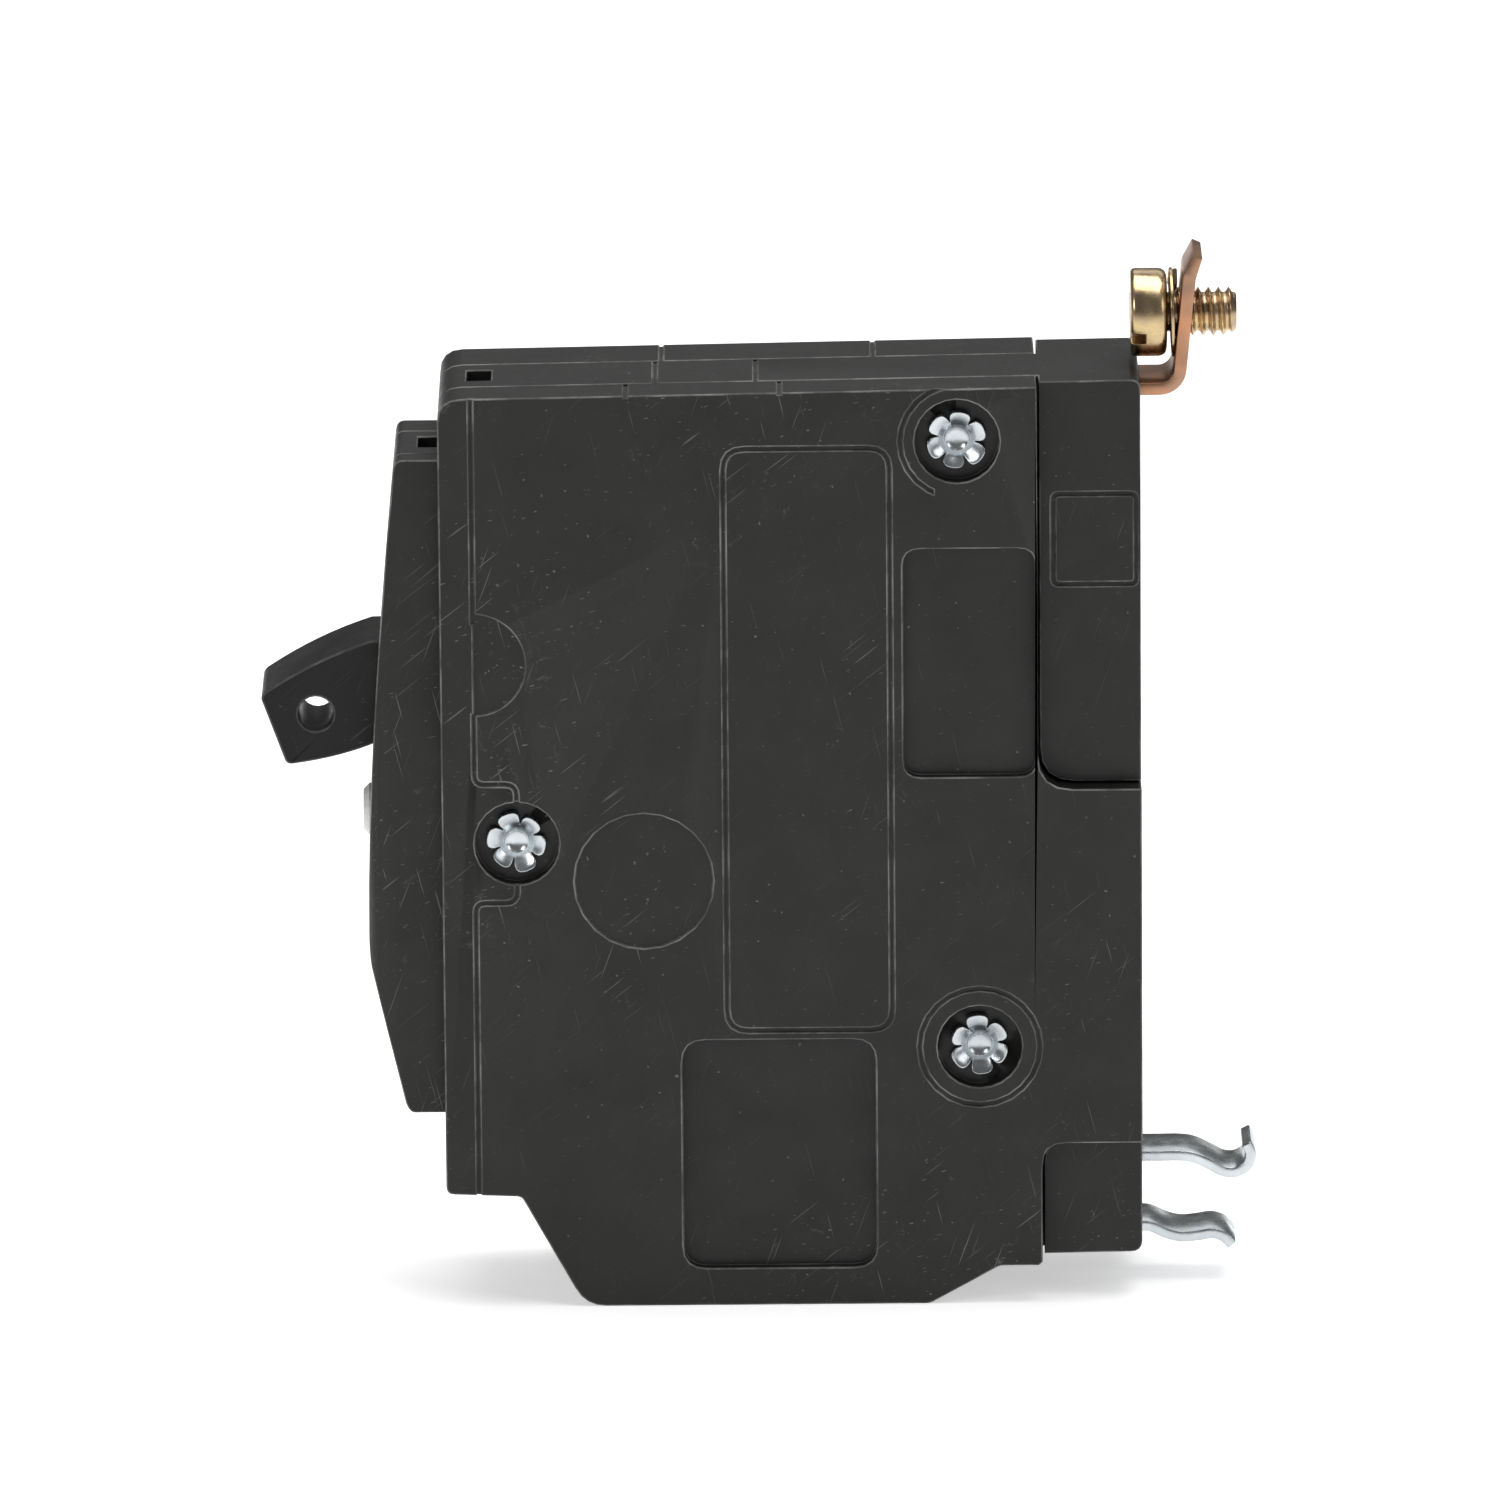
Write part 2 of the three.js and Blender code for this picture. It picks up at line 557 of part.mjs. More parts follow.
function centreFrame() {
  const ring = cut(bodyLayer(FRAME_NEAR, FRAME_FAR), chamber(FRAME_NEAR - 1, FRAME_FAR + 1));
  const corners = slab(CASE_OUTLINE, NEAR + CORNER_SETBACK, FAR - 1).intersect(steps(0, NEAR, FAR));
  const web = slab(outline([
    [FRONT + 1, TOP - 24.4],
    [CHAMBER_BACK + 1, TOP - 24.4],
    [CHAMBER_BACK + 1, CORNER_Z - 3],
    [-1, CORNER_Z - 3],
    [-1, 17],
    [-20, 17],
    [-20, 28.6],
    [FRONT + 1, 28.6],
  ]), PARTITION_NEAR, FRAME_FAR);
  const rib = block(-17, -15, FRAME_NEAR, PARTITION_NEAR + 0.1, 25.5, 33);
  const bosses = rivetBosses(FRAME_NEAR, FRAME_FAR).intersect(slab(CASE_OUTLINE, FRAME_NEAR, FRAME_FAR));
  const notchFront = FRONT + 2.4;
  const dateTop = TOP - DATE_BOX_DROP;
  const cornerFace = NEAR + CORNER_SETBACK;
  return cut(
    join(ring, corners, web, rib, bosses),
    panelGroove(-DATE_BOX_SIDE - 0.2, -0.2, dateTop - DATE_BOX_SIDE - 0.8, dateTop, 0.7,
      cornerFace - 1, cornerFace + GROOVE_DEPTH),
    ...witnessLines([-41, -32.5], FRAME_NEAR, FRAME_FAR),
    rivetBores(FRAME_NEAR - 1, FRAME_FAR + 1),
    barY(TRUNNION_RADIUS + RUNNING_FIT, HANDLE_PIVOT.x, HANDLE_PIVOT.z, FRAME_NEAR - 1, 0),
    handlePocket(),
    buttonBore(),
    terminalOpenings(),
    clipPocket(),
    barX(PIN_RADIUS + RUNNING_FIT, ARM_Y, CALIBRATION_Z, -18, -14),
    tangSlot(),
    block(notchFront, notchFront + 2.1, -2.6, 1.4, TOP - TOP_TAPER - 1, TOP + 1),
    block(FRONT - 1.8, FRONT, -2.6, 1.4, SNOUT_TOP - 1.2, SNOUT_TOP + 1));
}

// Slot that the line tang passes out through.
function tangSlot() {
  const half = TANG_WIDTH / 2 + 0.25;
  const top = TOP - TANG_DROP + 0.15;
  return block(CHAMBER_BACK - 1.9, 1, -half, half, top - TANG_THICKNESS - 0.4, top);
}

// Room for the clip's web inside the back wall, and a slot for each prong.
function clipPocket() {
  const half = CLIP_WIDTH / 2 + SEAT_GAP;
  const gap = 0.15;
  const web = block(-4, -WALL, -half, half, CLIP_LOWER_Z - CLIP_THICKNESS / 2 - gap,
    CLIP_UPPER_Z + CLIP_THICKNESS / 2 + SEAT_GAP);
  const slots = [CLIP_LOWER_Z, CLIP_UPPER_Z].map((z) =>
    block(-2, 1, -half, half, z - CLIP_THICKNESS / 2 - gap, z + CLIP_THICKNESS / 2 + gap));
  return join(web, ...slots);
}

// ---------------------------------------------------------------- handle and contacts

// Toggle handle, modelled level about its pivot at the origin, then laid to OFF.
function operatingHandle() {
  const half = HANDLE_WIDTH / 2;
  const drum = new THREE.Shape();
  const edge = THREE.MathUtils.degToRad(80);
  drum.absarc(0, 0, DRUM_RADIUS, Math.PI - edge, Math.PI + edge);
  drum.lineTo(3, -3.2);
  drum.lineTo(3, 3.2);
  const lever = new THREE.Shape();
  lever.moveTo(-4, 3.6);
  lever.lineTo(-7.2, 4.7);
  lever.quadraticCurveTo(-12, 4.9, -HANDLE_LENGTH + 0.7, 3.7);
  lever.quadraticCurveTo(-HANDLE_LENGTH, 3.5, -HANDLE_LENGTH, 3);
  lever.lineTo(-HANDLE_LENGTH, -2.5);
  lever.quadraticCurveTo(-HANDLE_LENGTH, -3, -HANDLE_LENGTH + 0.6, -3.1);
  lever.quadraticCurveTo(-13, -4, -9.6, -3.8);
  lever.lineTo(-6.4, -2.6);
  lever.lineTo(-4, -2);
  const finger = outline([[2, 1.3], [6.3, 0.9, 0.6], [6.3, -0.9, 0.6], [2, -1.3]]);
  const tieHole = barY(TIE_HOLE_RADIUS, -HANDLE_LENGTH + 3.9, 0.35, -half - 1, half + 1);
  const body = cut(
    join(slab(drum, -half, half, 20), slab(lever, -half, half, 8), slab(finger, -half, half)),
    tieHole);
  const trunnion = barY(TRUNNION_RADIUS, 0, 0, NEAR_FLOOR + 0.4, FAR_FLOOR - 0.4);
  const mesh = piece('operating_handle', join(body, trunnion), HANDLE_BLACK);
  mesh.position.copy(HANDLE_PIVOT);
  mesh.rotation.y = -THREE.MathUtils.degToRad(HANDLE_OFF_ANGLE);
}

// Contact arm, modelled closed about its pivot at the origin, then swung open.
function contactArm() {
  const y0 = ARM_Y - ARM_THICKNESS / 2;
  const y1 = ARM_Y + ARM_THICKNESS / 2;
  const tip = ARM_REACH + BUTTON_RADIUS + 0.5;
  const plate = outline([
    [-2.2, 1.6, 1.4],
    [1, 2.6, 1],
    [ARM_REACH - 5.5, ARM_RISE, 2],
    [tip, ARM_RISE, 0.6],
    [tip, ARM_RISE - 2.2, 0.6],
    [ARM_REACH - 3.8, ARM_RISE - 3, 2],
    [1.6, -2.2, 1],
    [-2.2, -2, 1.4],
  ]);
  const arm = cut(slab(plate, y0, y1),
    barY(PIN_RADIUS + RUNNING_FIT, 0, 0, y0 - 1, y1 + 1, 16),
    barY(0.7, 8, 5.6, y0 - 1, y1 + 1, 12));
  const button = barZ(BUTTON_RADIUS, ARM_REACH, ARM_Y, ARM_RISE + 0.02, ARM_RISE + BUTTON_THICKNESS);
  const pieces = [
    piece('contact_arm', arm, COPPER),
    piece('moving_contact', button, SILVER),
  ];
  for (const mesh of pieces) {
    mesh.position.copy(ARM_PIVOT);
    mesh.rotation.y = THREE.MathUtils.degToRad(ARM_OPEN_ANGLE);
  }
  piece('arm_pivot_pin', barY(PIN_RADIUS, ARM_PIVOT.x, ARM_PIVOT.z, NEAR_FLOOR + 0.1,
    PARTITION_NEAR - 0.1, 16), STEEL);
}

// Copper strap from the bolt-on tang outside to the fixed contact inside.
function lineTang() {
  const half = TANG_WIDTH / 2;
  const level = TOP - TANG_DROP - TANG_THICKNESS / 2;
  const contactLeg = FIXED_FACE_Z + BUTTON_THICKNESS + TANG_THICKNESS / 2;
  const upright = CHAMBER_BACK - SEAT_GAP - TANG_THICKNESS / 2;
  const side = ribbon([
    [TANG_OFFSET + 0.8, TOP + TANG_RISE],
    [TANG_OFFSET, TOP + TANG_RISE - 1.7, 0.6],
    [TANG_OFFSET, level, 1.5],
    [upright, level, 0.9],
    [upright, contactLeg, 0.9],
    [CONTACT_X - 3, contactLeg],
  ], TANG_THICKNESS);
  const hole = barX(SCREW_RADIUS + 0.3, 0, TOP + SCREW_RISE, 0, 8);
  piece('line_tang', cut(slab(side, -half, half), hole), COPPER);
  const button = barZ(BUTTON_RADIUS, CONTACT_X, ARM_Y, FIXED_FACE_Z, FIXED_FACE_Z + BUTTON_THICKNESS - 0.02);
  piece('fixed_contact', button, SILVER);
}

// Slotted screw through the tang, pointing away from the case, with its lock washer.
function boltOnScrew() {
  const axisZ = TOP + SCREW_RISE;
  const washerEnd = TANG_OFFSET - TANG_THICKNESS / 2 - 0.05;
  const headEnd = washerEnd - WASHER_THICKNESS - 0.1;
  const headStart = headEnd - SCREW_HEAD_HEIGHT;
  const profile = [
    [0, headStart],
    [SCREW_HEAD_RADIUS - 0.4, headStart],
    [SCREW_HEAD_RADIUS, headStart + 0.4],
    [SCREW_HEAD_RADIUS, headEnd],
    [SCREW_RADIUS, headEnd],
    [SCREW_RADIUS, SCREW_END - 0.5],
    [SCREW_RADIUS - 0.5, SCREW_END],
    [0, SCREW_END],
  ];
  const body = solid(turned(profile, 32).rotateZ(-Math.PI / 2).translate(0, 0, axisZ));
  const slot = block(headStart - 1, headStart + 1.3, -0.6, 0.6, axisZ - 5, axisZ + 5);
  piece('bolt_on_screw', cut(body, slot), YELLOW_ZINC);
  const ring = cut(
    barX(SCREW_HEAD_RADIUS, 0, axisZ, headEnd + 0.05, washerEnd, 32),
    barX(SCREW_RADIUS + 0.2, 0, axisZ, headEnd - 1, washerEnd + 1, 32),
    block(headEnd - 1, washerEnd + 1, 0.3, 0.8, axisZ, axisZ + 6));
  piece('lock_washer', ring, YELLOW_ZINC);
}

// Spring clip for the mounting rail: two prongs on one web.
function railClip() {
  const half = CLIP_WIDTH / 2;
  const web = -2.6;
  const side = ribbon([
    [9.6, CLIP_UPPER_Z - 0.4],
    [8, CLIP_UPPER_Z - 1.7, 1],
    [4.4, CLIP_UPPER_Z - 0.1, 2],
    [web, CLIP_UPPER_Z, 0.8],
    [web, CLIP_LOWER_Z, 0.8],
    [1, CLIP_LOWER_Z, 1],
    [3.4, CLIP_LOWER_Z - 1, 1],
    [6, CLIP_LOWER_Z - 0.55, 1.5],
    [7.85, CLIP_LOWER_Z - 1.9],
  ], CLIP_THICKNESS);
  piece('rail_clip', slab(side, -half, half), ZINC);
}

// Test button with its return spring and the contact leaf behind it.
function testButton() {
  const face = SNOUT_FRONT + 0.1 - TEST_BUTTON_PROUD;
  const flange = FRONT - 1.5;
  const stem = FRONT + 0.6;
  const profile = [
    [0, face],
    [TEST_BUTTON_RADIUS - 0.5, face],
    [TEST_BUTTON_RADIUS, face + 0.5],
    [TEST_BUTTON_RADIUS, flange - 0.8],
    [TEST_BUTTON_RADIUS + 0.95, flange - 0.8],
    [TEST_BUTTON_RADIUS + 0.95, flange],
    [1.4, flange],
    [1.4, stem],
    [0, stem],
  ];
  const body = turned(profile).rotateZ(-Math.PI / 2).translate(0, 0, TEST_BUTTON_Z);
  piece('test_button', body, BUTTON_WHITE);
  const leafFront = FRONT + WALL + 0.3;
  const spring = coil(2.4, 0.25, leafFront - SEAT_GAP - flange - SEAT_GAP, 3);
  spring.rotateZ(-Math.PI / 2).translate(flange + SEAT_GAP, 0, TEST_BUTTON_Z);
  piece('test_button_spring', spring, STEEL);
  piece('test_contact_leaf', block(leafFront, leafFront + 0.4, -3, PARTITION_NEAR - 0.2,
    TEST_BUTTON_Z - 4, TEST_BUTTON_Z + 3.4), COPPER);
}

// ---------------------------------------------------------------- rivets

// Tubular rivet: flanged at the far side, its near end opened into petals.
function rivet(name, x, z) {
  const seat = NEAR + RIVET_RECESS_DEPTH;
  const far = FAR - 1;
  const profile = [
    [0, seat - 0.45],
    [1.15, seat - 0.7],
    [1.7, seat - 1.0],
    [RIVET_PETAL_RADIUS - 0.3, seat - 0.75],
    [RIVET_PETAL_RADIUS, seat - 0.05],
    [RIVET_RADIUS, seat - 0.05],
    [RIVET_RADIUS, far + 0.05],
    [RIVET_PETAL_RADIUS + 0.4, far + 0.05],
    [RIVET_PETAL_RADIUS + 0.2, far + 0.5],
    [1.4, far + 0.8],
    [0, far + 0.6],
  ];
  const body = solid(turned(profile, 3 * RIVET_PETALS).translate(x, 0, z));
  const notches = Array.from({ length: RIVET_PETALS }, (_, index) => {
    const notch = new THREE.BoxGeometry(1.3, 1.2, 0.3);
    notch.translate(RIVET_PETAL_RADIUS - 0.3, 0, 0).rotateY((index + 0.3) * 2 * Math.PI / RIVET_PETALS);
    return solid(notch.translate(x, seat - 0.7, z));
  });
  piece(name, cut(body, ...notches), ZINC);
}

// ---------------------------------------------------------------- load terminal

const LUG_X0 = FRONT + LUG_FRONT;
const LUG_X1 = LUG_X0 + LUG_LENGTH;
const STRAP_LEG_X = LUG_X0 + LUG_THREAD_WALL + 0.5 + STRAP_THICKNESS / 2;
const STRAP_LEVEL_Z = LUG_BOTTOM + LUG_HEIGHT + 1.8;
const STRAP_Y0 = -STRAP_WIDTH / 2 - 1;
const TOROID_X = -33;

function loadTerminal() {
  const half = LUG_WIDTH / 2;
  const cage = cut(
    block(LUG_X0, LUG_X1, -half, half, LUG_BOTTOM, LUG_BOTTOM + LUG_HEIGHT),
    block(LUG_X0 + LUG_THREAD_WALL, LUG_X1 - LUG_WALL, -half + 1.1, half - 1.1, 0, TOP),
    barX(LUG_SCREW_RADIUS + RUNNING_FIT, 0, LUG_AXIS_Z, LUG_X0 - 1, LUG_X0 + LUG_THREAD_WALL + 1));
  piece('wire_lug', cage, TIN);

  const headStart = FRONT + WALL + 0.5;
  const headEnd = headStart + 2.4;
  const profile = [
    [0, headStart],
    [LUG_HEAD_RADIUS - 0.3, headStart],
    [LUG_HEAD_RADIUS, headStart + 0.3],
    [LUG_HEAD_RADIUS, headEnd],
    [LUG_SCREW_RADIUS, headEnd],
    [LUG_SCREW_RADIUS, STRAP_LEG_X - STRAP_THICKNESS / 2 - 0.15],
    [0, STRAP_LEG_X - STRAP_THICKNESS / 2 - 0.15],
  ];
  const screw = solid(turned(profile).rotateZ(-Math.PI / 2).translate(0, 0, LUG_AXIS_Z));
  piece('lug_screw', cut(screw, block(headStart - 1, headStart + 1.2, -0.5, 0.5, 0, 30)), ZINC);

  const strap = ribbon([
    [STRAP_LEG_X, LUG_BOTTOM - 1],
    [STRAP_LEG_X, STRAP_LEVEL_Z, 1],
    [BIMETAL_X - STRAP_THICKNESS - SEAT_GAP, STRAP_LEVEL_Z, 1],
    [BIMETAL_X - STRAP_THICKNESS - SEAT_GAP, 32],
  ], STRAP_THICKNESS);
  piece('load_terminal', slab(strap, STRAP_Y0, STRAP_Y0 + STRAP_WIDTH), COPPER);
}

// Differential transformer round the load strap: ring core with its winding.
function differentialTransformer() {
  const end = TOROID_X + TOROID_LENGTH;
  const core = cut(
    barX(TOROID_RADIUS - 1.2, 0, STRAP_LEVEL_Z, TOROID_X + 1, end - 1),
    barX(TOROID_BORE + 1, 0, STRAP_LEVEL_Z, TOROID_X, end));
  piece('transformer_core', core, FERRITE);
  const cover = cut(
    barX(TOROID_RADIUS, 0, STRAP_LEVEL_Z, TOROID_X, end),
    barX(TOROID_BORE, 0, STRAP_LEVEL_Z, TOROID_X - 1, end + 1),
    cut(
      barX(TOROID_RADIUS - 1.1, 0, STRAP_LEVEL_Z, TOROID_X + 0.9, end + 1),
      barX(TOROID_BORE + 0.9, 0, STRAP_LEVEL_Z, TOROID_X, end + 2)));
  piece('transformer_winding', cover, ENAMEL);
}

// ---------------------------------------------------------------- trip unit

const BIMETAL_X = -21.2; // middle of the strip, behind the case front and ahead of the back
const BIMETAL_TOP = TOP - 30.4;
const CALIBRATION_Z = 29.5;
const YOKE_Z0 = BIMETAL_TOP - 14.4;
const YOKE_HEIGHT = 9;
const ARMATURE_X = BIMETAL_X - 4.9;
const ARMATURE_TOP = BIMETAL_TOP - 1.6;
const LEVER_PIVOT = new THREE.Vector3(FRONT + 14.4, 0, TOP - 38.4);
const LATCH_Z = LEVER_PIVOT.z + 3;

// Bimetal strip in its U-shaped yoke, and the screw that sets its free end.
function bimetalAndYoke() {
  const thickness = 1;
  piece('bimetal', block(BIMETAL_X - thickness / 2, BIMETAL_X + thickness / 2, ARM_Y - 2.5, ARM_Y + 1.7,
    27, BIMETAL_TOP), BIMETAL);
  const back = BIMETAL_X + 3;
  const front = BIMETAL_X - 2;
  const plan = outline([
    [front, -6.3],
    [back, -6.3, 1],
    [back, 1.9, 1],
    [front, 1.9],
    [front, 0.9],
    [back - 1, 0.9, 0.3],
    [back - 1, -5.3, 0.3],
    [front, -5.3],
  ]);
  piece('magnet_yoke', column(plan, YOKE_Z0, YOKE_Z0 + YOKE_HEIGHT), STEEL);
  const screwStart = BIMETAL_X + 0.8;
  const profile = [
    [0, screwStart],
    [PIN_RADIUS, screwStart],
    [PIN_RADIUS, -14.6],
    [1.9, -14.6],
    [1.9, -13.2],
    [0, -13.2],
  ];
  const screw = solid(turned(profile, 20).rotateZ(-Math.PI / 2).translate(0, ARM_Y, CALIBRATION_Z));
  piece('calibration_screw', cut(screw, block(-13.9, -12, ARM_Y - 3, ARM_Y + 3, CALIBRATION_Z - 0.3,
    CALIBRATION_Z + 0.3)), YELLOW_ZINC);
}

// Armature plate with a latch window, hung from its upper edge, drawn about its pivot.
function armature() {
  const length = 15;
  const plate = cut(
    block(-0.6, 0.6, -5.6, 1.6, -length, 0.4),
    block(-2, 2, ARM_Y - 1.4, ARM_Y + 1.4, LATCH_Z - ARMATURE_TOP - 1.1, LATCH_Z - ARMATURE_TOP + 1.3));
  const mesh = piece('armature', plate, STEEL);
  mesh.position.set(ARMATURE_X, 0, ARMATURE_TOP);
}

// Sprung lever that the armature latches; it throws the contact arm open.
function tripLever() {
  const y0 = ARM_Y - 0.8;
  const y1 = ARM_Y + 0.8;
  const tip = ARMATURE_X - 0.6 - SEAT_GAP - LEVER_PIVOT.x;
  const plate = outline([
    [-2.3, 2, 1.5],
    [4, 3.4, 2],
    [tip - 3, 3.9, 0.6],
    [tip, 3.9, 0.4],
    [tip, 2.3, 0.4],
    [tip - 3, 1.2, 1],
    [4, -1.5, 2],
    [-2.3, -2.4, 1.5],
  ]);
  const lever = cut(slab(plate, y0, y1),
    barY(PIN_RADIUS + RUNNING_FIT, 0, 0, y0 - 1, y1 + 1, 16),
    barY(0.7, 8, 1.2, y0 - 1, y1 + 1, 12));
  const mesh = piece('trip_lever', lever, STEEL);
  mesh.position.copy(LEVER_PIVOT);
  piece('trip_lever_pin', barY(PIN_RADIUS, LEVER_PIVOT.x, LEVER_PIVOT.z, NEAR_FLOOR + 0.1,
    PARTITION_NEAR - 0.1, 16), STEEL);
}

// Extension spring between the trip lever and the open contact arm.
function toggleSpring() {
  const x = LEVER_PIVOT.x + 8;
  const lower = LEVER_PIVOT.z + 3.4 + SEAT_GAP;
  const armAtSpring = ARM_PIVOT.z - 1.5 + (x - ARM_PIVOT.x) * Math.tan(THREE.MathUtils.degToRad(5));
  const spring = coil(1.4, 0.3, armAtSpring - SEAT_GAP - lower, 6);
  spring.rotateX(Math.PI / 2).translate(x, ARM_Y, lower);
  piece('toggle_spring', spring, STEEL);
}

// Braid from the free end of the bimetal to the contact arm.
function copperBraid() {
  const start = new THREE.Vector3(BIMETAL_X + 0.4, ARM_Y, BIMETAL_TOP + 1.4);
  const end = new THREE.Vector3(ARM_PIVOT.x + 13, ARM_Y - ARM_THICKNESS / 2 - 1.4, ARM_PIVOT.z + 2);
  const route = new THREE.CubicBezierCurve3(
    start,
    start.clone().add(new THREE.Vector3(-5, -1.5, 0)),
    end.clone().add(new THREE.Vector3(6, -2.5, -5)),
    end);
  const section = new THREE.Shape();
  section.absarc(0, 0, 1, 0, 2 * Math.PI);
  piece('flexible_braid', new THREE.ExtrudeGeometry(section, {
    steps: 14,
    extrudePath: route,
    bevelEnabled: false,
    curveSegments: 4,
  }), COPPER);
}

// Stack of slotted steel plates round the end of the contact arm, in fibre sides.
function arcChute() {
  const count = 4;
  const pitch = 2.4;
  const upper = FIXED_FACE_Z - 3.2;
  const back = CHAMBER_BACK - 0.9;
  const front = CONTACT_X + BUTTON_RADIUS - 0.6;
  const slotEnd = ARM_PIVOT.x + Math.hypot(ARM_REACH + BUTTON_RADIUS + 0.5, ARM_RISE) + 0.6;
  const slotHalf = BUTTON_RADIUS + 0.4;
  const plan = outline([
    [front, ARM_Y - 5.3, 0.6],
    [back, ARM_Y - 5.3, 0.6],
    [back, ARM_Y + 3.4, 0.6],
    [front, ARM_Y + 3.4, 0.6],
    [front, ARM_Y + slotHalf],
    [slotEnd, ARM_Y + slotHalf, 1],
    [slotEnd, ARM_Y - slotHalf, 1],
    [front, ARM_Y - slotHalf],
  ].reverse());
  for (let index = 0; index < count; index++) {
    const z = upper - index * pitch;
    piece(`arc_plate_${index + 1}`, column(plan, z - 1, z), STEEL);
  }
  const sides = [ARM_Y - 5.9, ARM_Y + 3.6];
  sides.forEach((y, index) => {
    const face = rectangle(front - 0.4, back + 0.4, upper - count * pitch - 0.2, upper + 0.8, 1);
    piece(`arc_chute_side_${index + 1}`, slab(face, y, y + 0.4), FIBRE);
  });
}

// ---------------------------------------------------------------- electronics

const BOARD_Y = FAR_SEAM_Y + SEAM_GAP / 2 + 0.3;
const BOARD_X0 = FRONT + 13;
const BOARD_X1 = -12.5;
const BOARD_Z0 = 29.5;
const OUTLET_RADIUS = 1.75;
const OUTLET_X = -30;
const OUTLET_Y = 5.1;

function circuitBoard() {
  const top = TOP - 26.4;
  const face = BOARD_Y + BOARD_THICKNESS;
  const shape = outline([
    [BOARD_X0, BOARD_Z0, 0.6],
    [BOARD_X0, top, 0.6],
    [BOARD_X1, top, 0.6],
    [BOARD_X1, BOARD_Z0, 0.6],
  ]);
  piece('circuit_board', slab(shape, BOARD_Y, face), BOARD_GREEN);
  const seat = face + 0.1;
  const chipX = BOARD_X0 + 9;
  const legs = Array.from({ length: 8 }, (_, index) => {
    const x = chipX + 0.9 + index * 1.27;
    return block(x, x + 0.45, seat, seat + 0.9, BOARD_Z0 + 4.2, BOARD_Z0 + 10.6);
  });
  const chip = block(chipX, chipX + 10.4, seat + 0.2, seat + 1.7, BOARD_Z0 + 5.4, BOARD_Z0 + 9.4);
  piece('control_chip', join(chip, ...legs), CHIP_BLACK);
  piece('surge_varistor', barY(3.5, BOARD_X1 - 6, BOARD_Z0 + 7, seat, seat + 2, 28), DISC_BLUE);
  const can = barX(1.15, seat + 1.2, top - 5, BOARD_X0 + 6, BOARD_X0 + 13);
  piece('filter_capacitor', can, CAN_TAN);
  piece('power_resistor', barX(1, seat + 1.05, top - 5, BOARD_X1 - 14, BOARD_X1 - 6), BUSH_GREY);
}

// Trip solenoid: coil in a bracket, plunger and its return spring.
function tripSolenoid() {
  const axisY = FAR_SEAM_Y + 0.9;
  const axisZ = TOP - 14.4;
  const x0 = FRONT + 14.6;
  const x1 = x0 + 13.6;
  const plate = 0.8;
  const half = 2.9;
  const bracket = cut(
    join(
      block(x0, x0 + plate, axisY - half, axisY + half, axisZ - half, axisZ + half + 0.9),
      block(x1 - plate, x1, axisY - half, axisY + half, axisZ - half, axisZ + half + 0.9),
      block(x0, x1, axisY - half, axisY + half, axisZ + half + 0.1, axisZ + half + 0.9)),
    barX(1.1, axisY, axisZ, x0 - 1, x1 + 1, 16));
  piece('solenoid_frame', bracket, STEEL);
  const winding = cut(
    barX(2.6, axisY, axisZ, x0 + plate + 0.2, x1 - plate - 0.2),
    barX(1.2, axisY, axisZ, x0, x1, 16));
  piece('solenoid_coil', winding, ENAMEL);
  const collar = x0 - 3.6;
  const profile = [
    [0, collar],
    [1.9, collar],
    [1.9, collar + 0.8],
    [0.85, collar + 0.8],
    [0.85, x0 + 10.5],
    [0, x0 + 10.5],
  ];
  piece('solenoid_plunger', turned(profile, 16).rotateZ(-Math.PI / 2).translate(0, axisY, axisZ), STEEL);
  const spring = coil(1.35, 0.2, 3.6 - 0.8 - 2 * 0.15, 4);
  spring.rotateZ(-Math.PI / 2).translate(collar + 0.95, axisY, axisZ);
  piece('solenoid_spring', spring, STEEL);
}

// Insulating bush of the neutral conductor's outlet in the load end.
function neutralBush() {
  const profile = [
    [1.15, 0.2],
    [OUTLET_RADIUS, 0.2],
    [OUTLET_RADIUS, WALL + 0.05],
    [OUTLET_RADIUS + 0.35, WALL + 0.05],
    [OUTLET_RADIUS + 0.35, WALL + 0.7],
    [1.15, WALL + 0.7],
    [1.15, 0.2],
  ];
  const body = turned(profile, 16).rotateX(Math.PI / 2).translate(OUTLET_X, OUTLET_Y, 0);
  piece('neutral_outlet_bush', body, BUSH_GREY);
}

// ---------------------------------------------------------------- assembly

piece('mechanism_cover', mechanismCover(), MOULDED_BLACK);
piece('centre_frame', centreFrame(), MOULDED_BLACK);
piece('electronics_cover', electronicsCover(), MOULDED_BLACK);
operatingHandle();
contactArm();
lineTang();
boltOnScrew();
railClip();
testButton();
RIVETS.forEach(([x, z], index) => rivet(`case_rivet_${index + 1}`, x, z));
loadTerminal();
differentialTransformer();
bimetalAndYoke();
armature();
tripLever();
toggleSpring();
copperBraid();
arcChute();
circuitBoard();
tripSolenoid();
neutralBush();

// The breaker's own origin: the middle of its overall box, at the load end.
const box = new THREE.Box3().setFromObject(breaker, true);
breaker.position.x = -(box.min.x + box.max.x) / 2;

export default new THREE.Group().add(breaker);
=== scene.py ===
"""Looks of the one-pole bolt-on breaker: camera, light, materials and the fine pieces. Metres."""
import json
import math

import bmesh
import bpy
from mathutils import Matrix, Vector

